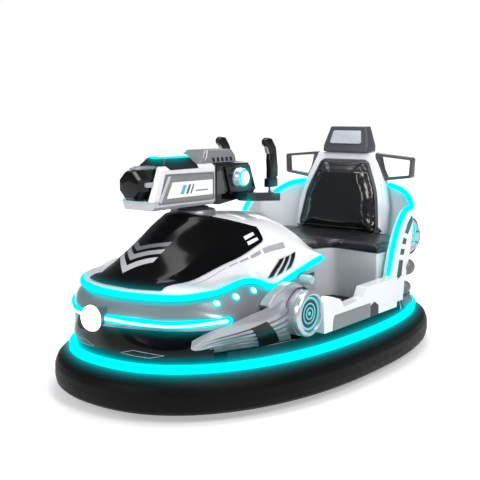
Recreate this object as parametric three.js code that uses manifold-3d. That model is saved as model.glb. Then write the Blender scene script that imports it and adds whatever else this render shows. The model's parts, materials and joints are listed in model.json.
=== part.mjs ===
// A battery-driven fairground bumper car: an oval rubber bumper ring round a light shell body, a straddle seat with
// a winged backrest, two driven wheels, two swivel casters, and a toy spot-light cannon on the hood that turns and tilts.
// Frame: +X forward, +Y to the driver's left, +Z up, origin on the floor under the middle of the ring. Millimetres.
import * as THREE from "three";
import { mergeVertices } from "three/addons/utils/BufferGeometryUtils.js";
import Module from "manifold-3d";

const wasm = await Module();
wasm.setup();

// ---------------------------------------------------------------- driving dimensions
const RING_A = 975; // half length of the bumper ring
const RING_B = 604; // half width
const N_FRONT = 2.29; // superellipse exponents of the plan outline
const N_REAR = 2.48;
const RING_BOTTOM = 32; // ground clearance of the ring
const RING_TOP = 166.7;
const BODY_INSET = 95; // the body shell stands on the ring this far inside the outline
const LIGHT_R = 12; // hood and arch light strips
const SHELL = 10; // shell wall
const PLATE_Z = 150; // underside of the chassis plate
const PLATE_T = 8;
const FLOOR_Z = 214; // underside of the floor pan
const FLOOR_T = 7;
const DRIVE_X = -300,
  DRIVE_Y = 352,
  DRIVE_R = 95,
  DRIVE_W = 46;
const CASTER_X = 500,
  CASTER_Y = 250,
  CASTER_R = 50,
  CASTER_W = 30,
  CASTER_TRAIL = 32;
const GUN_X = 420; // yaw axis of the cannon
const GUN_PIVOT_Z = 765; // tilt axis
const HUB_X = 330,
  HUB_Z = 325,
  HUB_R = 84;
const GAP = 0.4;

// ---------------------------------------------------------------- materials
const mat = (color, roughness, metalness = 0) =>
  new THREE.MeshStandardMaterial({ color, roughness, metalness });
const M = {
  rubber: mat(0x141414, 0.75),
  light: mat(0x00f0f5, 0.4),
  white: mat(0xf2f3f7, 0.25),
  silver: mat(0x9a9ca3, 0.35, 0.5),
  grey: mat(0x55585c, 0.5),
  gloss: mat(0x050607, 0.08),
  chrome: mat(0xc8ccd0, 0.15, 0.9),
  seat: mat(0x17181a, 0.6),
  steel: mat(0x3c3f43, 0.55, 0.6),
  black: mat(0x0c0c0d, 0.4),
  lens: mat(0xffffff, 0.2),
  poly: mat(0x2b2b2d, 0.7),
};

const root = new THREE.Group();
function put(name, geometry, material) {
  const mesh = new THREE.Mesh(geometry, material);
  mesh.name = name;
  root.add(mesh);
  return mesh;
}

// ---------------------------------------------------------------- solids
function solid(geometry) {
  const g = geometry.clone();
  g.deleteAttribute("normal");
  g.deleteAttribute("uv");
  const merged = mergeVertices(g, 1e-3);
  const m = new wasm.Manifold(
    new wasm.Mesh({
      numProp: 3,
      vertProperties: new Float32Array(merged.attributes.position.array),
      triVerts: new Uint32Array(merged.index.array),
    }),
  );
  return m;
}
function geo(m) {
  const mesh = m.getMesh();
  const v = new Float32Array(mesh.numVert * 3);
  for (let i = 0; i < mesh.numVert; i++)
    v.set(mesh.vertProperties.subarray(i * mesh.numProp, i * mesh.numProp + 3), i * 3);
  const g = new THREE.BufferGeometry();
  g.setAttribute("position", new THREE.BufferAttribute(v, 3));
  g.setIndex(new THREE.BufferAttribute(new Uint32Array(mesh.triVerts), 1));
  g.computeVertexNormals();
  return g;
}
const join = (...gs) => gs.map(solid).reduce((a, b) => a.add(b));
const cut = (m, ...gs) => gs.map(solid).reduce((a, b) => a.subtract(b), m);

const box = (x0, x1, y0, y1, z0, z1) => {
  const g = new THREE.BoxGeometry(x1 - x0, y1 - y0, z1 - z0);
  g.translate((x0 + x1) / 2, (y0 + y1) / 2, (z0 + z1) / 2);
  return g;
};
function extrude(points, depth) {
  const s = new THREE.Shape(points.map(([a, b]) => new THREE.Vector2(a, b)));
  return new THREE.ExtrudeGeometry(s, { depth, bevelEnabled: false, curveSegments: 1 });
}
// outline in the XZ plane, between two Y values
function plateXZ(points, y0, y1) {
  const g = extrude(points, y1 - y0);
  g.rotateX(Math.PI / 2);
  g.translate(0, y1, 0);
  return g;
}
function plateXY(points, z0, z1) {
  const g = extrude(points, z1 - z0);
  g.translate(0, 0, z0);
  return g;
}
// outline in the YZ plane, between two X values
function plateYZ(points, x0, x1) {
  const g = extrude(points, x1 - x0);
  g.rotateX(Math.PI / 2);
  g.rotateZ(Math.PI / 2);
  g.translate(x0, 0, 0);
  return g;
}
function cylY(x, z, r, y0, y1, seg = 32, r2 = r) {
  const g = new THREE.CylinderGeometry(r2, r, y1 - y0, seg);
  g.translate(x, (y0 + y1) / 2, z);
  // CylinderGeometry stands along Y already
  const p = g.attributes.position;
  for (let i = 0; i < p.count; i++) p.setXYZ(i, p.getX(i), p.getY(i), p.getZ(i) );
  return g;
}
function cylX(y, z, r, x0, x1, seg = 32, r2 = r) {
  const g = new THREE.CylinderGeometry(r2, r, x1 - x0, seg);
  g.rotateZ(-Math.PI / 2);
  g.translate((x0 + x1) / 2, y, z);
  return g;
}
function cylZ(x, y, r, z0, z1, seg = 32, r2 = r) {
  const g = new THREE.CylinderGeometry(r2, r, z1 - z0, seg);
  g.rotateX(Math.PI / 2);
  g.translate(x, y, (z0 + z1) / 2);
  return g;
}
// revolve a closed (radius, height) profile about a line along Y through (x, z)
function latheY(profile, x, z, seg = 32) {
  const g = new THREE.LatheGeometry(
    profile.map(([r, h]) => new THREE.Vector2(r, h)),
    seg,
  );
  g.translate(x, 0, z);
  return g;
}
const mirrorY = (g) => {
  const c = g.index ? g.toNonIndexed() : g.clone();
  const p = c.attributes.position;
  for (let i = 0; i < p.count; i++) p.setY(i, -p.getY(i));
  for (let i = 0; i < p.count; i += 3) {
    const a = [p.getX(i + 1), p.getY(i + 1), p.getZ(i + 1)];
    p.setXYZ(i + 1, p.getX(i + 2), p.getY(i + 2), p.getZ(i + 2));
    p.setXYZ(i + 2, ...a);
  }
  c.deleteAttribute("normal");
  c.computeVertexNormals();
  return c;
};
function pair(name, geometry, material) {
  put(name + "_left", geometry, material);
  put(name + "_right", mirrorY(geometry), material);
}
// a closed surface from rings of points: rows of equal length, closed across, capped at both ends
function fromRings(rings, capped = true, looped = false) {
  const n = rings[0].length,
    pos = rings.flat(2),
    idx = [];
  const last = looped ? rings.length : rings.length - 1;
  for (let i = 0; i < last; i++) {
    const a = i * n,
      b = ((i + 1) % rings.length) * n;
    for (let j = 0; j < n; j++) {
      const k = (j + 1) % n;
      idx.push(a + j, b + j, b + k, a + j, b + k, a + k);
    }
  }
  if (capped && !looped) {
    for (const [start, flip] of [
      [0, false],
      [(rings.length - 1) * n, true],
    ]) {
      const pts = [];
      for (let j = 0; j < n; j++) pts.push(new THREE.Vector3(...pos.slice((start + j) * 3, (start + j) * 3 + 3)));
      // triangulate the end in its own plane
      const normal = new THREE.Vector3();
      for (let j = 0; j < n; j++) normal.add(new THREE.Vector3().crossVectors(pts[j], pts[(j + 1) % n]));
      normal.normalize();
      const u = new THREE.Vector3(Math.abs(normal.x) < 0.8 ? 1 : 0, Math.abs(normal.x) < 0.8 ? 0 : 1, 0)
        .cross(normal)
        .normalize();
      const w = new THREE.Vector3().crossVectors(normal, u);
      const flat = pts.map((p) => new THREE.Vector2(p.dot(u), p.dot(w)));
      for (const t of THREE.ShapeUtils.triangulateShape(flat, [])) {
        const [a, b, c] = t;
        if (flip) idx.push(start + a, start + c, start + b);
        else idx.push(start + a, start + b, start + c);
      }
    }
  }
  const g = new THREE.BufferGeometry();
  g.setAttribute("position", new THREE.BufferAttribute(new Float32Array(pos), 3));
  g.setIndex(idx);
  return facingOut(g);
}
function facingOut(g) {
  const p = g.attributes.position,
    ix = g.index;
  let v = 0;
  const a = new THREE.Vector3(),
    b = new THREE.Vector3(),
    c = new THREE.Vector3();
  for (let i = 0; i < ix.count; i += 3) {
    a.fromBufferAttribute(p, ix.getX(i));
    b.fromBufferAttribute(p, ix.getX(i + 1));
    c.fromBufferAttribute(p, ix.getX(i + 2));
    v += a.dot(b.clone().cross(c));
  }
  if (v < 0)
    for (let i = 0; i < ix.count; i += 3) {
      const t = ix.getX(i + 1);
      ix.setX(i + 1, ix.getX(i + 2));
      ix.setX(i + 2, t);
    }
  g.computeVertexNormals();
  return g;
}
// uniform Catmull-Rom through points p0..pn, k steps a span
function through(points, k) {
  if (k <= 1) return points.map((p) => [...p]);
  const out = [],
    n = points.length;
  for (let i = 0; i < n - 1; i++) {
    const p1 = points[i],
      p2 = points[i + 1];
    const p0 = i > 0 ? points[i - 1] : p1.map((c, a) => 2 * c - p2[a]);
    const p3 = i + 2 < n ? points[i + 2] : p2.map((c, a) => 2 * c - p1[a]);
    for (let s = 0; s < k; s++) {
      const t = s / k;
      out.push(
        p1.map(
          (_, a) =>
            0.5 *
            (2 * p1[a] +
              (p2[a] - p0[a]) * t +
              (2 * p0[a] - 5 * p1[a] + 4 * p2[a] - p3[a]) * t * t +
              (3 * p1[a] - p0[a] - 3 * p2[a] + p3[a]) * t * t * t),
        ),
      );
    }
  }
  out.push([...points[n - 1]]);
  return out;
}
function refine(grid, ku, kv) {
  const rows = grid.map((r) => through(r, kv));
  const cols = rows[0].map((_, j) => through(rows.map((r) => r[j]), ku));
  return cols[0].map((_, i) => cols.map((c) => c[i]));
}
function gridNormals(g) {
  const R = g.length,
    C = g[0].length;
  const V = (i, j) => new THREE.Vector3(...g[Math.min(R - 1, Math.max(0, i))][Math.min(C - 1, Math.max(0, j))]);
  return g.map((row, i) =>
    row.map((_, j) => {
      const du = V(i + 1, j).sub(V(i - 1, j)),
        dv = V(i, j + 1).sub(V(i, j - 1));
      return du.cross(dv).normalize();
    }),
  );
}
const offset = (g, d, sign = 1) => {
  const nn = gridNormals(g);
  return g.map((row, i) => row.map((p, j) => [p[0] + sign * d * nn[i][j].x, p[1] + sign * d * nn[i][j].y, p[2] + sign * d * nn[i][j].z]));
};
// a wall between two grids of the same size
function wall(outer, inner) {
  const R = outer.length,
    C = outer[0].length,
    pos = [],
    idx = [];
  for (const g of [outer, inner]) for (const row of g) for (const p of row) pos.push(...p);
  const id = (s, i, j) => s * R * C + i * C + j;
  for (const s of [0, 1])
    for (let i = 0; i < R - 1; i++)
      for (let j = 0; j < C - 1; j++) {
        const q = [id(s, i, j), id(s, i + 1, j), id(s, i + 1, j + 1), id(s, i, j + 1)];
        const tris = [q[0], q[1], q[2], q[0], q[2], q[3]];
        if (s) tris.reverse();
        idx.push(...tris);
      }
  const rim = [];
  for (let j = 0; j < C - 1; j++) rim.push([0, j]);
  for (let i = 0; i < R - 1; i++) rim.push([i, C - 1]);
  for (let j = C - 1; j > 0; j--) rim.push([R - 1, j]);
  for (let i = R - 1; i > 0; i--) rim.push([i, 0]);
  for (let k = 0; k < rim.length; k++) {
    const [a, b] = rim[k],
      [c, d] = rim[(k + 1) % rim.length];
    idx.push(id(0, a, b), id(0, c, d), id(1, c, d), id(0, a, b), id(1, c, d), id(1, a, b));
  }
  const g = new THREE.BufferGeometry();
  g.setAttribute("position", new THREE.BufferAttribute(new Float32Array(pos), 3));
  g.setIndex(idx);
  return facingOut(g);
}
// full-width grid from the left half, whose column 0 is the middle
const bothSides = (half) => half.map((row) => [...row.slice(1).reverse().map(([x, y, z]) => [x, -y, z]), ...row]);
const mm = (rows) => rows.map((r) => r.map((p) => p.map((c) => c * 1000)));
function tube(points, r, steps, sides = 8, closed = false) {
  const curve = new THREE.CatmullRomCurve3(points.map((p) => new THREE.Vector3(...p)), closed, "centripetal");
  const s = new THREE.Shape();
  for (let i = 0; i < sides; i++) {
    const a = (2 * Math.PI * (i + 0.5)) / sides;
    if (i) s.lineTo(r * Math.cos(a), r * Math.sin(a));
    else s.moveTo(r * Math.cos(a), r * Math.sin(a));
  }
  return new THREE.ExtrudeGeometry(s, { steps, extrudePath: curve, bevelEnabled: false });
}

// ---------------------------------------------------------------- bumper ring
const RING_STEPS = 60;
function outline(inset, steps = RING_STEPS) {
  const pts = [];
  for (let i = 0; i < steps; i++) {
    const t = (2 * Math.PI * i) / steps,
      c = Math.cos(t),
      s = Math.sin(t);
    const n = c > 0 ? N_FRONT : N_REAR;
    pts.push([
      (RING_A - inset) * Math.sign(c) * Math.abs(c) ** (2 / n),
      (RING_B - inset) * Math.sign(s) * Math.abs(s) ** (2 / n),
    ]);
  }
  return pts;
}
function ringSweep(section, steps = RING_STEPS) {
  const loops = section.map(([d, z]) => outline(d, steps).map(([x, y]) => [x, y, z]));
  const rings = [];
  for (let i = 0; i < steps; i++) rings.push(section.map((_, k) => loops[k][i]));
  return fromRings(rings, false, true);
}
put(
  "bumper_ring",
  ringSweep([
    [18, RING_BOTTOM],
    [4, 46],
    [0, 70],
    [1, 108],
    [11, 134],
    [37, 151],
    [53, RING_TOP],
    [118, RING_TOP],
    [118, 60],
    [100, RING_BOTTOM],
  ]),
  M.rubber,
);
put(
  "ring_light_strip",
  ringSweep([
    [55, 167.1],
    [55, 184],
    [64, 195],
    [76, 195],
    [86, 184],
    [86, 167.1],
  ]),
  M.light,
);

// ---------------------------------------------------------------- hood, canopy and its light strip
// rows run from the nose to the cockpit; columns from the middle to the left edge
const HOOD = mm([
  [[0.849, 0, 0.434], [0.846, 0.065, 0.434], [0.833, 0.13, 0.434], [0.809, 0.19, 0.434], [0.78, 0.24, 0.435], [0.744, 0.278, 0.439]],
  [[0.839, 0, 0.443], [0.835, 0.065, 0.443], [0.82, 0.128, 0.445], [0.79, 0.183, 0.449], [0.75, 0.245, 0.446], [0.7, 0.307, 0.444]],
  [[0.765, 0, 0.525], [0.74, 0.085, 0.515], [0.7, 0.165, 0.487], [0.68, 0.19, 0.456], [0.65, 0.257, 0.452], [0.62, 0.321, 0.452]],
  [[0.69, 0, 0.583], [0.65, 0.085, 0.57], [0.59, 0.16, 0.527], [0.57, 0.19, 0.47], [0.55, 0.265, 0.463], [0.53, 0.336, 0.459]],
  [[0.62, 0, 0.63], [0.56, 0.09, 0.62], [0.48, 0.156, 0.566], [0.46, 0.192, 0.492], [0.45, 0.275, 0.477], [0.44, 0.348, 0.461]],
  [[0.565, 0, 0.662], [0.47, 0.105, 0.648], [0.36, 0.156, 0.6], [0.35, 0.199, 0.515], [0.355, 0.287, 0.482], [0.37, 0.357, 0.444]],
  [[0.52, 0, 0.679], [0.4, 0.12, 0.65], [0.24, 0.163, 0.607], [0.232, 0.203, 0.553], [0.26, 0.297, 0.49], [0.3, 0.367, 0.418]],
  [[0.42, 0, 0.679], [0.31, 0.115, 0.65], [0.19, 0.168, 0.607], [0.188, 0.217, 0.566], [0.2, 0.306, 0.5], [0.22, 0.374, 0.432]],
  [[0.28, 0, 0.666], [0.21, 0.108, 0.646], [0.14, 0.168, 0.607], [0.139, 0.222, 0.569], [0.14, 0.31, 0.515], [0.14, 0.379, 0.464]],
  [[0.13, 0, 0.652], [0.12, 0.1, 0.641], [0.09, 0.167, 0.603], [0.089, 0.226, 0.567], [0.088, 0.308, 0.522], [0.085, 0.38, 0.487]],
  [[0.02, 0, 0.64], [0.032, 0.09, 0.626], [0.036, 0.167, 0.592], [0.038, 0.23, 0.56], [0.036, 0.3, 0.514], [0.04, 0.362, 0.486]],
]);
const hoodGrid = refine(bothSides(HOOD), 1, 2);
const upOf = (g) => (gridNormals(g)[Math.floor(g.length / 2)][Math.floor(g[0].length / 2)].z > 0 ? 1 : -1);
{
  const s = upOf(hoodGrid);
  const R = hoodGrid.length - 1,
    C = hoodGrid[0].length - 1;
  const inner = offset(hoodGrid, SHELL, -s).map((row, i) =>
    row.map((p, j) => {
      if (i > 0 && i < R && j > 0 && j < C) return p;
      const [x, y, z] = hoodGrid[i][j];
      if (i === R) return [x, y, z - 12];
      const d = new THREE.Vector2(x - 250, y).normalize();
      return [x - 16 * d.x, y - 16 * d.y, z + 1];
    }),
  );
  put("hood", wall(hoodGrid, inner), M.white);
  // the canopy panel lies on the hood over rows 1 to 6 and the inner columns
  const rows = [1, 6],
    cols = [4, 16];
  const top = offset(hoodGrid, 5, s),
    low = offset(hoodGrid, GAP, s);
  const part = (g) => g.slice(rows[0], rows[1] + 1).map((r) => r.slice(cols[0], cols[1] + 1));
  put("canopy", wall(part(top), part(low)), M.gloss);
}
const hoodEdge = [
  ...HOOD.slice(1, 10).reverse().map((r) => r[5]),
  ...HOOD[0].slice().reverse(),
];
const stripLine = (() => {
  const half = hoodEdge.map(([x, y, z]) => [x, y, z - 1.4 - LIGHT_R]);
  return [...half, ...half.slice(0, -1).reverse().map(([x, y, z]) => [x, -y, z])];
})();
// the strip stands a little proud of the edge
const stripPath = stripLine.map(([x, y, z], i) => {
  const a = stripLine[Math.max(0, i - 1)],
    b = stripLine[Math.min(stripLine.length - 1, i + 1)];
  const t = new THREE.Vector2(b[0] - a[0], b[1] - a[1]).normalize();
  return [x - t.y * 4, y + t.x * 4, z];
});
put("hood_light_strip", tube(stripPath, LIGHT_R, 60, 6), M.light);

// ---------------------------------------------------------------- nose band
const BAND = mm([
  // top, upper, bulge, lower edge at each station from the middle of the nose to the dip beside the cockpit
  [[0.848, 0, 0.409], [0.888, 0, 0.388], [0.93, 0, 0.352], [0.924, 0, 0.316]],
  [[0.845, 0.062, 0.409], [0.882, 0.064, 0.388], [0.921, 0.066, 0.352], [0.906, 0.066, 0.315]],
  [[0.832, 0.124, 0.409], [0.862, 0.127, 0.388], [0.897, 0.13, 0.352], [0.876, 0.125, 0.312]],
  [[0.809, 0.18, 0.409], [0.835, 0.188, 0.388], [0.863, 0.193, 0.352], [0.842, 0.182, 0.309]],
  [[0.78, 0.232, 0.41], [0.8, 0.242, 0.388], [0.822, 0.248, 0.352], [0.806, 0.238, 0.307]],
  [[0.742, 0.272, 0.414], [0.757, 0.292, 0.39], [0.772, 0.305, 0.353], [0.758, 0.312, 0.31]],
  [[0.697, 0.303, 0.418], [0.702, 0.331, 0.393], [0.705, 0.366, 0.356], [0.693, 0.38, 0.317]],
  [[0.62, 0.32, 0.427], [0.622, 0.351, 0.4], [0.622, 0.383, 0.363], [0.618, 0.402, 0.328]],
  [[0.53, 0.335, 0.434], [0.532, 0.362, 0.409], [0.534, 0.386, 0.377], [0.54, 0.402, 0.346]],
  [[0.44, 0.347, 0.436], [0.442, 0.366, 0.414], [0.446, 0.384, 0.391], [0.452, 0.398, 0.367]],
  [[0.37, 0.356, 0.419], [0.374, 0.369, 0.407], [0.377, 0.379, 0.395], [0.38, 0.388, 0.381]],
]);
const bandGrid = refine([...BAND.slice(1).reverse().map((r) => r.map(([x, y, z]) => [x, -y, z])), ...BAND], 2, 1);
{
  const n = gridNormals(bandGrid);
  const mid = Math.floor(bandGrid.length / 2);
  const s = n[mid][2].x > 0 ? 1 : -1;
  let band = solid(wall(bandGrid, offset(bandGrid, SHELL, -s)));
  band = cut(band, cylX(0, 350, 35, 850, 1000, 32));
  put("nose_band", geo(band), M.silver);
}
// headlamp: a round drum on the nose, facing forward
put(
  "headlamp",
  geo(
    join(
      cylX(0, 350, 34, 890, 951, 32),
      cylX(0, 350, 47, 950, 966, 32),
      cylX(0, 350, 43, 965.5, 974.5, 32, 36),
    ),
  ),
  M.lens,
);

const fenderGrid = refine(
  mm([
    [[0.785, 0.252, 0.207], [0.788, 0.262, 0.222], [0.79, 0.272, 0.238], [0.782, 0.288, 0.25]],
    [[0.715, 0.29, 0.207], [0.717, 0.335, 0.235], [0.716, 0.372, 0.27], [0.705, 0.385, 0.3]],
    [[0.62, 0.335, 0.207], [0.62, 0.4, 0.24], [0.62, 0.438, 0.285], [0.618, 0.418, 0.318]],
    [[0.52, 0.372, 0.207], [0.52, 0.437, 0.245], [0.52, 0.458, 0.3], [0.535, 0.42, 0.337]],
    [[0.425, 0.4, 0.207], [0.424, 0.45, 0.245], [0.424, 0.466, 0.3], [0.43, 0.424, 0.352]],
  ]),
  2,
  2,
);
const fenderOut = gridNormals(fenderGrid)[6][3].y > 0 ? 1 : -1;

// ---------------------------------------------------------------- front fascia, from the ring up behind the band
function lerp3(a, b, t) {
  return a.map((c, i) => c + (b[i] - c) * t);
}
const bodyFoot = (x, y, inset, z) => {
  // the point of the inset outline in the direction of (x, y)
  const a = RING_A - inset,
    b = RING_B - inset,
    n = x > 0 ? N_FRONT : N_REAR;
  const k = ((Math.abs(x) / a) ** n + (Math.abs(y) / b) ** n) ** (-1 / n);
  return [x * k, y * k, z];
};
const FASCIA_N = 6;
const fasciaRows = [];
for (let i = 0; i < FASCIA_N; i++) {
  const top = BAND[Math.min(i, 6)][3];
  const t = i <= 6 ? top : lerp3(BAND[6][3], BAND[7][3], 0.5);
  const n2 = new THREE.Vector2(t[0] / RING_A ** 2, t[1] / RING_B ** 2).normalize();
  const up = [t[0] - 12 * n2.x, t[1] - 12 * n2.y, t[2] - 1.5];
  const foot = bodyFoot(t[0], t[1], BODY_INSET + 2, RING_TOP + 1);
  const mid = lerp3(foot, up, 0.5),
    swell = [10, 12, 18, 25, 28, 14][i];
  fasciaRows.push([up, [mid[0] + swell * n2.x, mid[1] + swell * n2.y, mid[2] + 8], foot]);
}
const fasciaGrid = refine([...fasciaRows.slice(1).reverse().map((r) => r.map(([x, y, z]) => [x, -y, z])), ...fasciaRows], 2, 2);
{
  const n = gridNormals(fasciaGrid);
  const mid = Math.floor(fasciaGrid.length / 2);
  const s = n[mid][2].x > 0 ? 1 : -1;
  const inner = offset(fasciaGrid, SHELL, -s).map((r) => r.map(([x, y, z]) => [x, y, Math.max(z, RING_TOP + 1)]));
  const f = solid(wall(fasciaGrid, inner));
  const clearing = wall(offset(fenderGrid, 6, fenderOut), offset(fenderGrid, 60, -fenderOut));
  const fender = wall(fenderGrid, offset(fenderGrid, 9, -fenderOut));
  const moved = [[1, 0, 0], [-1, 0, 0], [0, 1, 0], [0, -1, 0], [0, 0, 1], [0, 0, -1]].map((d) => fender.clone().translate(...d));
  const body = cut(f, clearing, mirrorY(clearing), ...moved, ...moved.map(mirrorY))
    .decompose()
    .sort((a, b) => b.volume() - a.volume())[0];
  put("front_fascia", geo(body), M.gloss);
}

// ---------------------------------------------------------------- chassis, floor and skirts
const insetPoly = (inset, steps = 48) => outline(inset, steps);
{
  let plate = solid(plateXY(insetPoly(118.6, RING_STEPS), PLATE_Z, PLATE_Z + PLATE_T));
  for (const s of [-1, 1]) {
    const y = s * DRIVE_Y;
    plate = cut(plate, box(DRIVE_X - 118, DRIVE_X + 118, y - 38, y + 38, 100, 200));
  }
  for (const skirt of [sideSkirt(), mirrorY(sideSkirt())]) plate = plate.add(solid(skirt));
  // lifting pad under the middle
  plate = plate.add(solid(box(-70, 70, -70, 70, PLATE_Z - 8, PLATE_Z + 2)));
  put("chassis_plate", geo(plate), M.steel);
  const footprint = insetPoly(150, 40).map(([x, y]) => [Math.max(-700, Math.min(300, x)), Math.max(-447, Math.min(447, y))]);
  const clean = footprint.filter((p, i) => {
    const q = footprint[(i + 1) % footprint.length];
    return Math.hypot(p[0] - q[0], p[1] - q[1]) > 1;
  });
  const floor = join(plateXY(clean, FLOOR_Z, FLOOR_Z + FLOOR_T), plateXZ([[292, 214], [300, 214], [378, 400], [371, 403]], -300, 300));
  put("floor_pan", geo(floor), M.grey);
}
// upstand along each side of the plate, under the sills and the cockpit floor
function sideSkirt() {
  const line = [];
  for (let i = 0; i <= 12; i++) {
    const x = -560 + (1170 * i) / 12;
    line.push([x, Math.min(440, bodyY(x, 158))]);
  }
  return fromRings(
    line.map(([x, y], i) => {
      const a = line[Math.max(0, i - 1)],
        b = line[Math.min(line.length - 1, i + 1)];
      const t = new THREE.Vector2(b[0] - a[0], b[1] - a[1]).normalize();
      const [ix, iy] = [x + t.y * 8, y - t.x * 8];
      return [
        [x, y, PLATE_Z + 2],
        [x, y, 206],
        [ix, iy, 206],
        [ix, iy, PLATE_Z + 2],
      ];
    }),
  );
}
function bodyY(x, inset) {
  const a = RING_A - inset,
    b = RING_B - inset,
    n = x > 0 ? N_FRONT : N_REAR;
  return b * (1 - (Math.abs(x) / a) ** n) ** (1 / n);
}

// ---------------------------------------------------------------- front fenders, hubs, shoulders and sills
{
  pair("front_fender", wall(fenderGrid, offset(fenderGrid, 9, -fenderOut)), M.silver);
}
{
  const hub = latheY(
    [
      [0, 392],
      [78, 392],
      [HUB_R, 398],
      [HUB_R, 486],
      [78, 497],
      [66, 497],
      [62, 486],
      [44, 486],
      [38, 500],
      [0, 502],
    ],
    HUB_X,
    HUB_Z,
    28,
  );
  pair("side_hub", geo(solid(facingOut(mergeVertices(strip(hub), 1e-3)))), M.chrome);
  const arc = [];
  for (let i = 0; i <= 10; i++) {
    const a = THREE.MathUtils.degToRad(12 + (153 * i) / 10);
    arc.push([HUB_X + (HUB_R + 1.5) * Math.cos(a), HUB_Z + (HUB_R + 1.5) * Math.sin(a)]);
  }
  const shoulder = plateXZ([...arc, [150, 344], [191, 382], [343, 434], [404, 422], [428, 385], [428, 343]], 395, 468);
  const rail = plateXZ(
    [[-352, 213], [238, 213], [238, 347], [120, 347], [80, 322], [50, 294], [-95, 302], [-140, 325], [-175, 341], [-352, 338]],
    448,
    500,
  );
  pair("side_sill", geo(cut(join(shoulder, rail), cylY(HUB_X, HUB_Z, HUB_R + 0.8, 380, 520, 28))), M.white);
}
function strip(g) {
  const c = g.clone();
  c.deleteAttribute("normal");
  c.deleteAttribute("uv");
  return c;
}

// ---------------------------------------------------------------- pillars, rear shell and its light strips
const REAR_STRIP = [
  [-745, 240, 716],
  [-724, 280, 710],
  [-711, 325, 697],
  [-694, 361, 676],
  [-672, 386, 655],
  [-640, 410, 638],
  [-595, 429, 632],
  [-550, 436, 631],
  [-522, 436, 622],
  [-489, 436, 592],
  [-462, 436, 555],
  [-435, 436, 502],
  [-413, 436, 448],
  [-397, 436, 390],
  [-385, 436, 342],
];
const REAR_R = 11;
const stripCutter = tube(REAR_STRIP, REAR_R + 1, 34, 6);
pair("rear_light_strip", tube(REAR_STRIP, REAR_R, 34, 6), M.light);
{
  const fin = solid(
    plateXZ([[-580, 612], [-548, 628], [-525, 618], [-489, 586], [-459, 547], [-431, 495], [-408, 440], [-391, 385], [-378, 339], [-356, 339], [-356, 222], [-500, 222], [-511, 300], [-535, 360], [-556, 430], [-576, 520]], 410, 452),
  );
  pair("pillar", geo(cut(fin, stripCutter)), M.white);
}
{
  const half = mm([
    [[-0.79, 0, 0.712], [-0.785, 0.12, 0.712], [-0.768, 0.243, 0.706], [-0.724, 0.328, 0.689], [-0.686, 0.388, 0.648], [-0.594, 0.43, 0.616]],
    [[-0.835, 0, 0.68], [-0.828, 0.13, 0.68], [-0.797, 0.246, 0.668], [-0.746, 0.335, 0.64], [-0.704, 0.384, 0.6], [-0.594, 0.428, 0.56]],
    [[-0.87, 0, 0.46], [-0.858, 0.145, 0.46], [-0.825, 0.265, 0.455], [-0.778, 0.345, 0.445], [-0.72, 0.384, 0.43], [-0.575, 0.424, 0.41]],
    [[-0.876, 0, 0.3], [-0.856, 0.14, 0.3], [-0.81, 0.24, 0.3], [-0.75, 0.3, 0.297], [-0.675, 0.35, 0.293], [-0.535, 0.418, 0.29]],
  ]);
  half.push([
    bodyFoot(-880, 0, BODY_INSET + 12, RING_TOP + 1),
    bodyFoot(-873, 155, BODY_INSET + 12, RING_TOP + 1),
    bodyFoot(-842, 295, BODY_INSET + 12, RING_TOP + 1),
    bodyFoot(-780, 390, BODY_INSET + 12, RING_TOP + 1),
    bodyFoot(-690, 430, BODY_INSET + 12, RING_TOP + 1),
    [-520, bodyY(-520, 107), RING_TOP + 1],
  ]);
  const grid = refine(bothSides(half), 2, 2);
  const n = gridNormals(grid);
  const s = n[4][Math.floor(grid[0].length / 2)].x < 0 ? 1 : -1;
  const inner = offset(grid, SHELL, -s).map((r) => r.map(([x, y, z]) => [x, y, Math.max(z, RING_TOP + 1)]));
  const liner = mm([
    [[-0.787, 0, 0.709], [-0.782, 0.12, 0.709], [-0.765, 0.24, 0.703], [-0.721, 0.323, 0.685], [-0.683, 0.382, 0.644], [-0.594, 0.423, 0.613]],
    [[-0.767, 0, 0.6], [-0.764, 0.12, 0.6], [-0.754, 0.236, 0.59], [-0.716, 0.318, 0.58], [-0.684, 0.365, 0.565], [-0.594, 0.409, 0.545]],
    [[-0.735, 0, 0.452], [-0.735, 0.12, 0.452], [-0.734, 0.238, 0.452], [-0.712, 0.318, 0.452], [-0.684, 0.363, 0.452], [-0.594, 0.406, 0.452]],
  ]);
  const linerGrid = refine(bothSides(liner), 2, 1);
  const ln = gridNormals(linerGrid);
  const ls = ln[2][Math.floor(linerGrid[0].length / 2)].x < 0 ? 1 : -1;
  let shell = solid(wall(grid, inner)).add(solid(wall(linerGrid, offset(linerGrid, 7, ls))));
  const plug = cylY(-648, 492, 87, 402, 480, 32);
  shell = cut(shell, stripCutter, mirrorY(stripCutter), plug, mirrorY(plug));
  put("rear_shell", geo(shell), M.white);
  const disc = latheY([[0, 402.6], [82, 402.6], [86, 404], [86, 407.5], [82, 409.5], [66, 409.6], [60, 425], [30, 440], [0, 445]], -648, 492, 28);
  pair("turbine_disc", geo(solid(facingOut(mergeVertices(strip(disc), 1e-3)))), M.grey);
}

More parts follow.
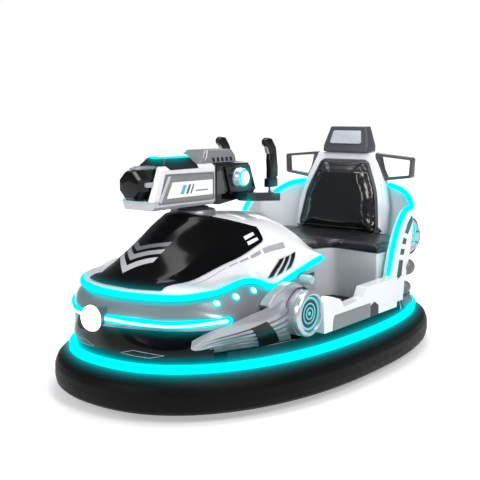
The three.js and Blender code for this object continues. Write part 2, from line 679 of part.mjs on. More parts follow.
// ---------------------------------------------------------------- seat
const seatPlan = (g, rear = [[-590, 402 - g], [-690, 345 - g]]) => {
  const half = [
    [-262 - g, 0],
    [-268 - g, 70 - g / 2],
    [-300 - g, 112 - g / 2],
    [-390 - g, 140],
    [-372 - g, 260],
    [-350 - g, 400 - g],
    [-366 - g, 402 - g],
    ...rear,
    [-724 + g, 240 - g / 2],
    [-724 + g, 0],
  ];
  return [...half, ...half.slice(1, -1).reverse().map(([x, y]) => [x, -y])];
};
{
  const baseTop = 445;
  // its rear corners keep inside the narrower foot of the rear shell
  let base = solid(plateXY(seatPlan(8, [[-535, 394], [-600, 368], [-675, 328]]), FLOOR_Z + FLOOR_T + GAP, baseTop));
  base = cut(base, plateXY(seatPlan(20, [[-532, 382], [-594, 357], [-668, 317]]), 200, baseTop - 10));
  put("seat_base", geo(base), M.white);
  put("seat_cushion", plateXY(seatPlan(0), baseTop + GAP, 482), M.seat);
}
{
  // leaning panels: outline given as (y, z) with x following the lean
  const lean = (z) => -662 - (70 * (z - 482)) / 388;
  const leaning = (pts, front, back) => fromRings([pts.map(([y, z]) => [lean(z) + front, y, z]), pts.map(([y, z]) => [lean(z) + back, y, z])]);
  const both = (half) => [...half, ...half.slice().reverse().map(([y, z]) => [-y, z])];
  const shellOutline = both([[250, 483], [250, 610], [222, 729], [164, 868]]);
  put("backrest_shell", leaning(shellOutline, 0, -60), M.white);
  const padOutline = both([[208, 486], [214, 520], [190, 680], [128, 815], [112, 824]]);
  put("backrest_pad", leaning(padOutline, 34, 0.5), M.seat);
  const wingOuter = [[220, 738], [358, 755], [361, 849], [165, 867]];
  const x0 = -770,
    x1 = -728;
  const hole = [[240, 759], [338, 771], [340, 832], [205, 845]];
  let wing = cut(solid(plateYZ(wingOuter, x0, x1)), plateYZ(hole, x0 - 20, x1 + 20));
  wing = cut(wing, leaning(both([[250.5, 470], [250.5, 610], [222.5, 729], [164.5, 872]]), 3, -63));
  pair("wing", geo(wing), M.grey);
  const head = fromRings([
    [[-716, -128, 868.6], [-716, 128, 868.6], [-820, 118, 868.6], [-820, -118, 868.6]],
    [[-722, -128, 900], [-722, 128, 900], [-824, 116, 900], [-824, -116, 900]],
    [[-749, -104, 993], [-749, 104, 993], [-812, 92, 993], [-812, -92, 993]],
  ]);
  put("headrest", head, M.grey);
}
put("battery_pack", box(-640, -430, -160, 160, FLOOR_Z + FLOOR_T + GAP, 400), M.poly);

// ---------------------------------------------------------------- the cannon on its round pedestal
{
  const s = upOf(hoodGrid);
  const below = wall(offset(hoodGrid, 5 + GAP, s), hoodGrid.map((r) => r.map(([x, y]) => [x, y, 380])));
  let ped = solid(cylZ(GUN_X, 0, 95, 600, 688, 40, 86));
  ped = ped.subtract(solid(below));
  put("pedestal", geo(ped.decompose().sort((a, b) => b.volume() - a.volume())[0]), M.silver);
  put("turret_base", geo(join(cylZ(GUN_X, 0, 62, 688.5, 697, 40), cylZ(GUN_X, 0, 44, 696.5, 706.5, 32))), M.steel);
}
const both8 = (w, c, z0, z1) => [[-w, z0 + c], [-w + c, z0], [w - c, z0], [w, z0 + c], [w, z1 - c], [w - c, z1], [-w + c, z1], [-w, z1 - c]];
{
  // front housing: chamfered box with a raked front, open round the muzzle
  const side = solid(plateXZ([[379, 707], [379, 866], [682, 866], [737, 728], [724, 707]], -130, 130));
  let housing = side.intersect(solid(plateYZ(both8(80, 14, 700.5, 866), 300, 800)));
  const oct = (r) => [...Array(8)].map((_, i) => [r * Math.cos((Math.PI * (i + 0.5)) / 4), 801 + r * Math.sin((Math.PI * (i + 0.5)) / 4)]);
  housing = cut(housing, box(640, 900, -57, 57, 739, 900));
  put("gun_housing", geo(housing), M.grey);
  const face = oct(57).map(([y, z]) => [752, y, z]),
    tip = oct(48).map(([y, z]) => [770, y, z]),
    back = oct(57).map(([y, z]) => [640.6, y, z]);
  put("gun_muzzle", fromRings([back, face, tip]), M.gloss);
  put("gun_light_box", geo(solid(plateXZ([[470, 866.5], [650, 866.5], [625, 893], [490, 893]], -80, 80)).intersect(solid(plateYZ([[-62, 866], [62, 866], [43, 895], [-43, 895]], 400, 800)))), M.gloss);
  put("gun_top_cover", geo(solid(plateXZ([[225, 866.5], [455, 866.5], [400, 915], [236, 915]], -80, 80)).intersect(solid(plateYZ([[-62, 865], [62, 865], [61.5, 890], [46, 918], [-46, 918], [-61.5, 890]], 100, 600)))), M.silver);
  let rear = solid(plateXZ([[130, 723], [345, 701], [362, 703], [378.5, 709], [378.5, 866], [158, 863], [112, 747]], -80, 80)).intersect(solid(plateYZ(both8(80, 12, 694, 866), 100, 500)));
  const lampHole = cylY(242, 803, 43, -200, 200, 32);
  rear = cut(rear, lampHole);
  put("gun_rear_housing", geo(rear), M.gloss);
  put("gun_lamp", geo(join(cylY(242, 803, 42, -118, 118, 32), cylY(242, 803, 31, -123, 123, 32))), M.chrome);
  const arm = [[262, 712], [262, 745], [33, 730], [33, 696]];
  put("handlebar", geo(join(plateXZ(arm, 97, 147), plateXZ(arm, -147, -97), box(45, 105, -98, 98, 701, 727), box(170, 255, 80.6, 98, 715, 737), box(170, 255, -98, -80.6, 715, 737))), M.black);
  const grip = join(
    plateXZ([[44, 755], [98, 755], [96, 792], [82, 796], [88, 869], [84, 890], [104, 926], [121, 951], [106, 959], [84, 957], [47, 917], [32, 832], [28, 798]], 109, 135),
    cylZ(68, 122, 11, 733.5, 756, 20),
  );
  pair("grip", geo(grip), M.black);
}

// ---------------------------------------------------------------- running gear
{
  const x = DRIVE_X,
    y = DRIVE_Y,
    z = DRIVE_R;
  const motor = join(
    cylY(x, z, 44, 190, 318, 28),
    box(x - 38, x + 38, 200, 312, z, PLATE_Z - GAP),
    cylY(x, z, 12, 317, y + DRIVE_W / 2 - 4, 24),
  );
  pair("drive_motor", geo(motor), M.steel);
  const h = DRIVE_W / 2;
  const tyre = facingOut(
    mergeVertices(
      strip(
        latheY(
          [
            [12.6, y - h + 6],
            [60, y - h + 6],
            [64, y - h],
            [88, y - h],
            [DRIVE_R, y - h + 9],
            [DRIVE_R, y + h - 9],
            [88, y + h],
            [64, y + h],
            [60, y + h - 6],
            [26, y + h - 6],
            [22, y + h],
            [12.6, y + h],
            [12.6, y - h + 6],
          ],
          x,
          z,
          24,
        ),
      ),
      1e-3,
    ),
  );
  pair("drive_wheel", geo(solid(tyre)), M.rubber);
}
{
  const x = CASTER_X,
    y = CASTER_Y,
    ax = x - CASTER_TRAIL,
    r = CASTER_R,
    h = CASTER_W / 2;
  const leg = [[x - 22, 132], [x + 22, 132], [ax + 14, r - 12], [ax, r - 16], [ax - 14, r - 12]];
  const fork = join(
    cylZ(x, y, 34, 130, 149.4, 28),
    box(x - 22, x + 22, y - h - 11, y + h + 11, 124, 132),
    plateXZ(leg, y - h - 11, y - h - 6),
    plateXZ(leg, y + h + 6, y + h + 11),
    cylY(ax, r, 7, y - h - 8, y + h + 8, 20),
  );
  pair("caster_fork", geo(fork), M.steel);
  const wheel = facingOut(
    mergeVertices(
      strip(
        latheY(
          [
            [7.5, y - h],
            [r - 5, y - h],
            [r, y - h + 6],
            [r, y + h - 6],
            [r - 5, y + h],
            [7.5, y + h],
            [7.5, y - h],
          ],
          ax,
          r,
          22,
        ),
      ),
      1e-3,
    ),
  );
  pair("caster_wheel", geo(solid(wheel)), M.rubber);
}

export default root;
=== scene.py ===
"""Looks of the bumper car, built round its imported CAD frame. Metres, +X forward, +Y to the driver's left, +Z up."""

import json
import math

import bmesh
import bpy
import numpy as np
from mathutils import Matrix, Vector

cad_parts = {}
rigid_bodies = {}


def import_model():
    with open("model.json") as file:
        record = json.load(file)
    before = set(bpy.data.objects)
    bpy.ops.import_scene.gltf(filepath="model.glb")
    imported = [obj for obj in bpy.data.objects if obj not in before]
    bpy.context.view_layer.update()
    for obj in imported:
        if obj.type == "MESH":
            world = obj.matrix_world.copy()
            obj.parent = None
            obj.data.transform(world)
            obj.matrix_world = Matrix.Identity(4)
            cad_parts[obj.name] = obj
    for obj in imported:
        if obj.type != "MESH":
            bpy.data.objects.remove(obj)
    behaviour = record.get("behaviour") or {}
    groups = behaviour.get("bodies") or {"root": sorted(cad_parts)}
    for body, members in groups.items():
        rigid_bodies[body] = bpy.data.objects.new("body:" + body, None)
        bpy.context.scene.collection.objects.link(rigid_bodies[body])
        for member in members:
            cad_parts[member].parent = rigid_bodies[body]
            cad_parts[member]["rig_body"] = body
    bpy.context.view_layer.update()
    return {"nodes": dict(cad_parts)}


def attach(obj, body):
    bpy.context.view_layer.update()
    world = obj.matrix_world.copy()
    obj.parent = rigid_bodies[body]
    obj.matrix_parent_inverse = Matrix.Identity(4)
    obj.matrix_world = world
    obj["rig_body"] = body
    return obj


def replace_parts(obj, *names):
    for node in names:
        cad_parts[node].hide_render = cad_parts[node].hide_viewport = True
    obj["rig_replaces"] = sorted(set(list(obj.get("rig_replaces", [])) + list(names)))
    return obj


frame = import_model()
scene = bpy.context.scene
rad = math.radians

# ------------------------------------------------------------------ camera, world, lights, floor
cam_data = bpy.data.cameras.new("camera")
cam_data.sensor_width = 36.0
cam_data.lens = 63.68
cam = bpy.data.objects.new("camera", cam_data)
scene.collection.objects.link(cam)
cam.location = (2.92005, 2.19117, 1.05988)
yaw, pitch = 3.80566, -0.14882
look = Vector((math.cos(yaw) * math.cos(pitch), math.sin(yaw) * math.cos(pitch), math.sin(pitch)))
cam.rotation_mode = "QUATERNION"
cam.rotation_quaternion = look.to_track_quat("-Z", "Y")
scene.camera = cam
scene.view_settings.view_transform = "Standard"
scene.view_settings.look = "None"

world = bpy.data.worlds.new("world")
scene.world = world
world.use_nodes = True
wt = world.node_tree
wt.nodes.clear()
w_out = wt.nodes.new("ShaderNodeOutputWorld")
w_mix = wt.nodes.new("ShaderNodeMixShader")
w_cam = wt.nodes.new("ShaderNodeBackground")
w_cam.inputs["Color"].default_value = (1, 1, 1, 1)
w_cam.inputs["Strength"].default_value = 1.0
w_env = wt.nodes.new("ShaderNodeBackground")
w_coord = wt.nodes.new("ShaderNodeTexCoord")
w_sep = wt.nodes.new("ShaderNodeSeparateXYZ")
w_ramp = wt.nodes.new("ShaderNodeValToRGB")
w_ramp.color_ramp.elements[0].position = 0.0
w_ramp.color_ramp.elements[0].color = (0.5, 0.51, 0.53, 1)
w_ramp.color_ramp.elements[1].position = 0.9
w_ramp.color_ramp.elements[1].color = (0.62, 0.63, 0.65, 1)
e = w_ramp.color_ramp.elements.new(0.25)
e.color = (0.26, 0.27, 0.29, 1)
w_path = wt.nodes.new("ShaderNodeLightPath")
wt.links.new(w_coord.outputs["Generated"], w_sep.inputs[0])
wt.links.new(w_sep.outputs["Z"], w_ramp.inputs["Fac"])
wt.links.new(w_ramp.outputs["Color"], w_env.inputs["Color"])
w_env.inputs["Strength"].default_value = 0.62
wt.links.new(w_path.outputs["Is Camera Ray"], w_mix.inputs["Fac"])
wt.links.new(w_env.outputs[0], w_mix.inputs[1])
wt.links.new(w_cam.outputs[0], w_mix.inputs[2])
wt.links.new(w_mix.outputs[0], w_out.inputs["Surface"])


def area(name, place, target, size, power, color=(1, 1, 1)):
    d = bpy.data.lights.new(name, "AREA")
    d.shape = "RECTANGLE"
    d.size, d.size_y = size
    d.energy = power
    d.color = color
    o = bpy.data.objects.new(name, d)
    scene.collection.objects.link(o)
    o.location = place
    o.rotation_mode = "QUATERNION"
    o.rotation_quaternion = (Vector(target) - Vector(place)).to_track_quat("-Z", "Y")
    return o


area("key", (1.2, 3.6, 3.4), (0.0, 0.0, 0.3), (2.4, 1.6), 104)
area("front", (4.2, -0.6, 2.2), (0.2, 0.0, 0.4), (1.6, 1.6), 56)
area("top", (-0.2, 0.0, 4.2), (0.0, 0.0, 0.2), (3.0, 1.4), 98)
area("back", (-3.2, -1.8, 2.6), (-0.2, 0.0, 0.5), (1.6, 1.6), 36)

# ------------------------------------------------------------------ materials
def nodes_of(m):
    return m.node_tree, m.node_tree.nodes["Principled BSDF"]


def mat(
    name,
    color,
    rough=0.4,
    metal=0.0,
    coat=0.0,
    coat_rough=0.03,
    spec=0.5,
    glow=None,
    strength=0.0,
    vary=0.12,
    vary_scale=9.0,
    grain=0.0,
    grain_scale=300.0,
    rough_vary=0.06,
    kind="noise",
):
    """A moulded or painted surface: its colour drifts a little, its gloss is uneven, and fine grain or orange peel breaks its highlights."""
    m = bpy.data.materials.new(name)
    m.use_nodes = True
    t, b = nodes_of(m)
    b.inputs["Metallic"].default_value = metal
    b.inputs["Coat Weight"].default_value = coat
    b.inputs["Coat Roughness"].default_value = coat_rough
    b.inputs["Specular IOR Level"].default_value = spec
    coord = t.nodes.new("ShaderNodeTexCoord")
    n1 = t.nodes.new("ShaderNodeTexNoise")
    n1.inputs["Scale"].default_value = vary_scale
    n1.inputs["Detail"].default_value = 4
    t.links.new(coord.outputs["Object"], n1.inputs["Vector"])
    ramp = t.nodes.new("ShaderNodeValToRGB")
    lo = [max(0.0, c * (1 - vary)) for c in color]
    hi = [min(1.0, c * (1 + vary)) for c in color]
    ramp.color_ramp.elements[0].position = 0.3
    ramp.color_ramp.elements[0].color = (*lo, 1)
    ramp.color_ramp.elements[1].position = 0.7
    ramp.color_ramp.elements[1].color = (*hi, 1)
    t.links.new(n1.outputs["Fac"], ramp.inputs["Fac"])
    t.links.new(ramp.outputs["Color"], b.inputs["Base Color"])
    n2 = t.nodes.new("ShaderNodeTexNoise")
    n2.inputs["Scale"].default_value = vary_scale * 4.3
    n2.inputs["Detail"].default_value = 5
    t.links.new(coord.outputs["Object"], n2.inputs["Vector"])
    mr = t.nodes.new("ShaderNodeMapRange")
    mr.inputs["From Min"].default_value = 0.3
    mr.inputs["From Max"].default_value = 0.7
    mr.inputs["To Min"].default_value = max(0.02, rough - rough_vary)
    mr.inputs["To Max"].default_value = min(1.0, rough + rough_vary)
    t.links.new(n2.outputs["Fac"], mr.inputs["Value"])
    t.links.new(mr.outputs["Result"], b.inputs["Roughness"])
    if grain:
        if kind == "voronoi":
            n3 = t.nodes.new("ShaderNodeTexVoronoi")
            n3.inputs["Scale"].default_value = grain_scale
            out = n3.outputs["Distance"]
        else:
            n3 = t.nodes.new("ShaderNodeTexNoise")
            n3.inputs["Scale"].default_value = grain_scale
            n3.inputs["Detail"].default_value = 3
            out = n3.outputs["Fac"]
        t.links.new(coord.outputs["Object"], n3.inputs["Vector"])
        bump = t.nodes.new("ShaderNodeBump")
        bump.inputs["Strength"].default_value = grain
        bump.inputs["Distance"].default_value = 0.0006
        t.links.new(out, bump.inputs["Height"])
        t.links.new(bump.outputs["Normal"], b.inputs["Normal"])
    if glow:
        b.inputs["Emission Color"].default_value = (*glow, 1)
        b.inputs["Emission Strength"].default_value = strength
    return m


WHITE = mat("white_gloss", (0.78, 0.79, 0.83), 0.2, coat=0.55, vary=0.015, vary_scale=3, rough_vary=0.03, grain=0.03, grain_scale=60)
SILVER = mat("silver_paint", (0.23, 0.23, 0.25), 0.3, metal=0.45, coat=0.7, coat_rough=0.06, vary=0.06, vary_scale=420, rough_vary=0.05, grain=0.05, grain_scale=900, kind="voronoi")
LIGHTSILVER = mat("light_silver_paint", (0.36, 0.37, 0.395), 0.3, metal=0.35, coat=0.6, coat_rough=0.06, vary=0.05, vary_scale=420, rough_vary=0.05, grain=0.04, grain_scale=900, kind="voronoi")
BLACK = mat("black_gloss", (0.0022, 0.0023, 0.0026), 0.09, coat=0.12, coat_rough=0.03, vary=0.25, vary_scale=6, rough_vary=0.025, grain=0.02, grain_scale=40, spec=0.22)
RUBBER = mat("ring_rubber", (0.0020, 0.0020, 0.0023), 0.5, spec=0.11, vary=0.25, vary_scale=14, rough_vary=0.08, grain=0.35, grain_scale=420)
TYRE = mat("tyre_rubber", (0.012, 0.012, 0.012), 0.7, vary=0.3, vary_scale=30, rough_vary=0.08, grain=0.4, grain_scale=300)
LEATHER = mat("black_leather", (0.011, 0.011, 0.012), 0.36, coat=0.15, coat_rough=0.25, vary=0.25, vary_scale=22, rough_vary=0.07, grain=0.5, grain_scale=330, kind="voronoi")
GREY = mat("dark_grey_plastic", (0.06, 0.064, 0.071), 0.36, vary=0.08, vary_scale=12, rough_vary=0.05, grain=0.22, grain_scale=700)
MIDGREY = mat("mid_grey_plastic", (0.15, 0.155, 0.165), 0.38, vary=0.07, vary_scale=12, rough_vary=0.05, grain=0.2, grain_scale=700)
PALE = mat("pale_grey_plastic", (0.47, 0.51, 0.56), 0.32, vary=0.04, vary_scale=10, rough_vary=0.05, grain=0.08, grain_scale=500)
SATIN = mat("black_satin_plastic", (0.0055, 0.0055, 0.006), 0.3, spec=0.3, vary=0.2, vary_scale=20, rough_vary=0.06, grain=0.18, grain_scale=650)
CHROME = mat("chrome", (0.72, 0.74, 0.77), 0.13, metal=1.0, vary=0.03, vary_scale=10, rough_vary=0.04)
STEEL = mat("painted_steel", (0.025, 0.027, 0.03), 0.45, metal=0.1, vary=0.2, vary_scale=16, rough_vary=0.1, grain=0.25, grain_scale=260)
ZINC = mat("zinc_plate", (0.42, 0.43, 0.44), 0.36, metal=0.9, vary=0.08, vary_scale=40, rough_vary=0.1, grain=0.1, grain_scale=200)
CYAN = mat("cyan_light", (0.0, 0.03, 0.03), 0.45, glow=(0.0, 1.0, 1.0), strength=1.5, vary=0.05, spec=0.0)
CORE = mat("white_light", (0.6, 0.9, 0.9), 0.3, glow=(0.82, 1.0, 1.0), strength=1.6, vary=0.02)
RINGGLOW = mat("soft_cyan_ring", (0.10, 0.36, 0.40), 0.3, glow=(0.12, 0.72, 0.80), strength=0.42, vary=0.05)
CANOPYBLACK = mat("canopy_black", (0.0016, 0.0017, 0.0020), 0.16, vary=0.25, vary_scale=6, rough_vary=0.02, grain=0.02, grain_scale=40, spec=0.13)
LAMP = mat("lamp_light", (0.9, 0.95, 1.0), 0.3, glow=(0.95, 1.0, 1.0), strength=2.0, vary=0.02)
DECALGREY = mat("grey_stripe", (0.33, 0.33, 0.36), 0.3, coat=0.3, vary=0.04, vary_scale=60)
TEAL = mat("pale_teal_plastic", (0.33, 0.52, 0.53), 0.28, coat=0.3, vary=0.06, vary_scale=12, grain=0.05, grain_scale=400)

PADGLOSS = mat("glossy_black_leather", (0.0045, 0.0048, 0.0055), 0.2, coat=0.45, coat_rough=0.08, vary=0.2, vary_scale=18, rough_vary=0.05, grain=0.25, grain_scale=360, kind="voronoi")
SILVERLIGHT = mat("gun_silver_paint", (0.46, 0.47, 0.50), 0.28, metal=0.3, coat=0.6, coat_rough=0.06, vary=0.05, vary_scale=420, rough_vary=0.05, grain=0.04, grain_scale=900, kind="voronoi")
MIDGREY2 = mat("gun_cover_grey", (0.22, 0.225, 0.24), 0.32, metal=0.2, coat=0.4, coat_rough=0.1, vary=0.06, vary_scale=300, rough_vary=0.05, grain=0.1, grain_scale=700)
PLATEWHITE = mat("blank_plate_white", (0.86, 0.87, 0.88), 0.3, vary=0.012, vary_scale=5, rough_vary=0.03, grain=0.03, grain_scale=80)
PALEGREY = mat("pale_trim", (0.50, 0.50, 0.53), 0.3, coat=0.3, vary=0.03, vary_scale=30, rough_vary=0.04, grain=0.05, grain_scale=500)

HUBCHROME = mat("satin_chrome", (0.52, 0.56, 0.59), 0.34, metal=0.8, vary=0.03, vary_scale=8, rough_vary=0.03)
GUNWHITE = mat("gun_white_paint", (0.70, 0.71, 0.74), 0.25, coat=0.5, vary=0.02, vary_scale=6, rough_vary=0.04, grain=0.03, grain_scale=120)
MIDGREY3 = mat("panel_grey", (0.20, 0.20, 0.205), 0.36, vary=0.05, vary_scale=14, rough_vary=0.05, grain=0.15, grain_scale=600)
CYANPAINT = mat("teal_paint", (0.05, 0.42, 0.50), 0.3, coat=0.3, vary=0.05, vary_scale=30, rough_vary=0.04)
floor_m = mat("floor", (0.80, 0.80, 0.81), 0.34, vary=0.008, vary_scale=1.2, rough_vary=0.03, spec=0.3, glow=(1.0, 1.0, 1.0), strength=0.42)
ft, fb = nodes_of(floor_m)
f_co = ft.nodes.new("ShaderNodeTexCoord")
f_len = ft.nodes.new("ShaderNodeVectorMath")
f_len.operation = "LENGTH"
f_map = ft.nodes.new("ShaderNodeMapRange")
f_map.interpolation_type = "SMOOTHSTEP"
f_map.inputs["From Min"].default_value = 0.9
f_map.inputs["From Max"].default_value = 4.2
f_map.inputs["To Min"].default_value = 0.40
f_map.inputs["To Max"].default_value = 1.0
ft.links.new(f_co.outputs["Object"], f_len.inputs[0])
ft.links.new(f_len.outputs["Value"], f_map.inputs["Value"])
ft.links.new(f_map.outputs["Result"], fb.inputs["Emission Strength"])

# ------------------------------------------------------------------ a soft halo round the cyan lights
scene.use_nodes = True
ct = scene.node_tree
ct.nodes.clear()
c_rl = ct.nodes.new("CompositorNodeRLayers")
c_sep = ct.nodes.new("CompositorNodeSeparateColor")
ct.links.new(c_rl.outputs["Image"], c_sep.inputs[0])


def cmath(op, a, b=None, clamp=False):
    n = ct.nodes.new("CompositorNodeMath")
    n.operation = op
    n.use_clamp = clamp
    for k, v in enumerate((a, b)):
        if v is None:
            continue
        if isinstance(v, (int, float)):
            n.inputs[k].default_value = v
        else:
            ct.links.new(v, n.inputs[k])
    return n.outputs[0]


def cblur(a, px):
    n = ct.nodes.new("CompositorNodeBlur")
    n.filter_type = "GAUSS"
    if "Size" in n.inputs and n.inputs["Size"].type == "VECTOR":
        n.inputs["Size"].default_value = (px, px)
    else:
        n.size_x = n.size_y = int(px)
    ct.links.new(a, n.inputs["Image"])
    return n.outputs[0]


c_glow = cmath("SUBTRACT", cmath("SUBTRACT", c_sep.outputs[1], c_sep.outputs[0]), 0.35, True)
c_glow = cmath("MULTIPLY", c_glow, 1.5, True)
c_near, c_wide = cblur(c_glow, 5), cblur(c_glow, 15)
c_f = cmath("ADD", cmath("MULTIPLY", c_near, 0.42), cmath("MULTIPLY", c_wide, 0.72), True)
c_mix = ct.nodes.new("CompositorNodeMixRGB")
c_mix.inputs[2].default_value = (0.0, 0.90, 1.0, 1.0)
ct.links.new(c_f, c_mix.inputs[0])
ct.links.new(c_rl.outputs["Image"], c_mix.inputs[1])
c_out = ct.nodes.new("CompositorNodeComposite")
ct.links.new(c_mix.outputs[0], c_out.inputs["Image"])

# ------------------------------------------------------------------ mesh helpers
def build(name, verts, faces, mats, body="chassis", smooth=38, face_mat=None, rec=True):
    me = bpy.data.meshes.new(name)
    me.from_pydata([tuple(float(c) for c in v) for v in verts], [], [tuple(int(i) for i in f) for f in faces])
    for m in mats if isinstance(mats, (list, tuple)) else [mats]:
        me.materials.append(m)
    if face_mat is not None:
        me.polygons.foreach_set("material_index", list(face_mat))
    if rec:
        bm = bmesh.new()
        bm.from_mesh(me)
        bmesh.ops.recalc_face_normals(bm, faces=bm.faces)
        bm.to_mesh(me)
        bm.free()
    me.validate()
    if smooth:
        me.shade_smooth()
        me.set_sharp_from_angle(angle=rad(smooth))
    o = bpy.data.objects.new(name, me)
    scene.collection.objects.link(o)
    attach(o, body)
    return o


def bevel(o, width=0.003, seg=3, angle=38):
    m = o.modifiers.new("bevel", "BEVEL")
    m.width, m.segments, m.limit_method, m.angle_limit = width, seg, "ANGLE", rad(angle)
    m.harden_normals = True
    return o


def solidify(o, t, offset=-1.0):
    m = o.modifiers.new("wall", "SOLIDIFY")
    m.thickness, m.offset, m.use_even_offset = t, offset, True
    return o


def mirrored(o, body=None, replaces=None):
    """The same piece on the other side of the car."""
    c = o.copy()
    c.data = o.data.copy()
    c.name = o.name.replace("_left", "_right")
    c.data.name = c.name
    c.data.transform(Matrix.Diagonal((1, -1, 1, 1)))
    c.data.flip_normals()
    scene.collection.objects.link(c)
    for k in ("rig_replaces",):
        if k in c:
            del c[k]
    c.parent = None
    c.matrix_world = Matrix.Identity(4)
    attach(c, body or o["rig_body"].replace("_left", "_right"))
    if replaces:
        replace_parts(c, *replaces)
    return c


def catmull(P, k):
    """Natural cubic spline through the rows of P (n x m), k steps a span."""
    P = np.asarray(P, float)
    n = len(P)
    flat = P.reshape(n, -1)
    if n == 2:
        t = np.linspace(0, 1, k + 1)[:, None]
        return (flat[0] * (1 - t) + flat[1] * t).reshape((k + 1,) + P.shape[1:])
    pts = P.reshape(n, -1, 3)
    d = np.linalg.norm(np.diff(pts, axis=0), axis=2).mean(axis=1)
    d = np.maximum(d, 1e-6) ** 0.75
    x = np.concatenate([[0], np.cumsum(d)])
    h = np.diff(x)
    A = np.zeros((n, n))
    R = np.zeros((n, flat.shape[1]))
    A[0, 0] = A[-1, -1] = 1
    for i in range(1, n - 1):
        A[i, i - 1], A[i, i], A[i, i + 1] = h[i - 1], 2 * (h[i - 1] + h[i]), h[i]
        R[i] = 6 * ((flat[i + 1] - flat[i]) / h[i] - (flat[i] - flat[i - 1]) / h[i - 1])
    M = np.linalg.solve(A, R)
    out = []
    for i in range(n - 1):
        for s in range(k):
            u = s / k * h[i]
            a, b = h[i] - u, u
            out.append(
                (M[i] * a**3 + M[i + 1] * b**3) / (6 * h[i])
                + (flat[i] / h[i] - M[i] * h[i] / 6) * a
                + (flat[i + 1] / h[i] - M[i + 1] * h[i] / 6) * b
            )
    out.append(flat[-1])
    return np.array(out).reshape((len(out),) + P.shape[1:])


def across(G, k, creases=()):
    """The same along axis 1, in runs between crease columns."""
    G = np.asarray(G, float)
    cuts = [0, *creases, G.shape[1] - 1]
    parts = []
    for a, b in zip(cuts[:-1], cuts[1:]):
        run = catmull(np.swapaxes(G[:, a : b + 1], 0, 1), k)
        parts.append(run if not parts else run[1:])
    return np.swapaxes(np.concatenate(parts), 0, 1)


class Surf:
    """A smooth sheet through a grid of points. at(u, v) reads it in units of the control points."""

    def __init__(self, P, ku, kv, out):
        self.P, self.ku, self.kv = P, ku, kv
        du = np.gradient(P, axis=0)
        dv = np.gradient(P, axis=1)
        n = np.cross(du, dv)
        n /= np.linalg.norm(n, axis=2, keepdims=True) + 1e-12
        i, j = P.shape[0] // 2, P.shape[1] // 2
        if np.dot(n[i, j], out) < 0:
            n = -n
        self.N = n

    def at(self, u, v, off=0.0):
        a = min(max(u * self.ku, 0), self.P.shape[0] - 1.001)
        b = min(max(v * self.kv, 0), self.P.shape[1] - 1.001)
        i, j = int(a), int(b)
        s, t = a - i, b - j
        w = [((1 - s) * (1 - t), i, j), (s * (1 - t), i + 1, j), ((1 - s) * t, i, j + 1), (s * t, i + 1, j + 1)]
        p = sum(k * self.P[x, y] for k, x, y in w)
        n = sum(k * self.N[x, y] for k, x, y in w)
        return p + off * n / (np.linalg.norm(n) + 1e-12)

    def moved(self, off):
        return self.P + off * self.N


def sheet_mesh(name, P, mats, body="chassis", smooth=38, face_mat=None):
    R, C = P.shape[:2]
    faces = [(i * C + j, (i + 1) * C + j, (i + 1) * C + j + 1, i * C + j + 1) for i in range(R - 1) for j in range(C - 1)]
    return build(name, P.reshape(-1, 3), faces, mats, body, smooth, face_mat, rec=False)


def wall(name, top, low, mats, body="chassis", smooth=38, bev=0.0025, seg=3, top_mat=None):
    """A closed wall between two sheets of one size, with a rounded rim."""
    R, C = top.shape[:2]
    V = np.concatenate([top.reshape(-1, 3), low.reshape(-1, 3)])
    n = R * C
    F, FM = [], []
    for s in (0, n):
        for i in range(R - 1):
            for j in range(C - 1):
                q = (s + i * C + j, s + (i + 1) * C + j, s + (i + 1) * C + j + 1, s + i * C + j + 1)
                F.append(q if s == 0 else q[::-1])
                FM.append(0)
    rim = [(0, j) for j in range(C - 1)] + [(i, C - 1) for i in range(R - 1)] + [(R - 1, j) for j in range(C - 1, 0, -1)] + [(i, 0) for i in range(R - 1, 0, -1)]
    for k in range(len(rim)):
        a, b = rim[k], rim[(k + 1) % len(rim)]
        x, y = a[0] * C + a[1], b[0] * C + b[1]
        F.append((x, y, n + y, n + x))
        FM.append(0)
    o = build(name, V, F, mats, body, smooth, FM)
    if bev:
        bevel(o, bev, seg, 50)
    return o


def rings(name, R, mats, body="chassis", closed=False, smooth=38, bev=0.0, seg=3, caps=True, face_mat=None):
    """A body lofted through rings of points, with flat ends."""
    R = [np.asarray(r, float) for r in R]
    n = len(R[0])
    V = np.concatenate(R)
    F = []
    m = len(R)
    for i in range(m if closed else m - 1):
        a, b = i * n, ((i + 1) % m) * n
        for j in range(n):
            k = (j + 1) % n
            F.append((a + j, b + j, b + k, a + k))
    fm = None
    if face_mat is not None:
        fm = [face_mat(i // n, i % n) for i in range(len(F))]
    if caps and not closed:
        F.append(tuple(range(n)))
        F.append(tuple((m - 1) * n + j for j in reversed(range(n))))
        if fm is not None:
            fm += [face_mat(-1, 0), face_mat(-2, 0)]
    o = build(name, V, F, mats, body, smooth, fm)
    if bev:
        bevel(o, bev, seg)
    return o


def fillet(P, r, n=5):
    """The outline P with rounded corners. r is one radius or one for each corner."""
    P = [np.asarray(p, float) for p in P]
    rr = r if isinstance(r, (list, tuple)) else [r] * len(P)
    out = []
    for i, p in enumerate(P):
        a, b = P[i - 1], P[(i + 1) % len(P)]
        da, db = a - p, b - p
        la, lb = np.linalg.norm(da), np.linalg.norm(db)
        da, db = da / la, db / lb
        ang = math.acos(max(-1, min(1, float(da @ db))))
        if rr[i] <= 0 or ang > rad(176):
            out.append(p)
            continue
        t = min(rr[i] / math.tan(ang / 2), la * 0.48, lb * 0.48)
        s, e = p + da * t, p + db * t
        for k in range(n + 1):
            q = k / n
            out.append((1 - q) ** 2 * s + 2 * q * (1 - q) * p + q * q * e)
    return out


def onto(plane, a, b, c):
    return {"XZ": (a, c, b), "YZ": (c, a, b), "XY": (a, b, c)}[plane]


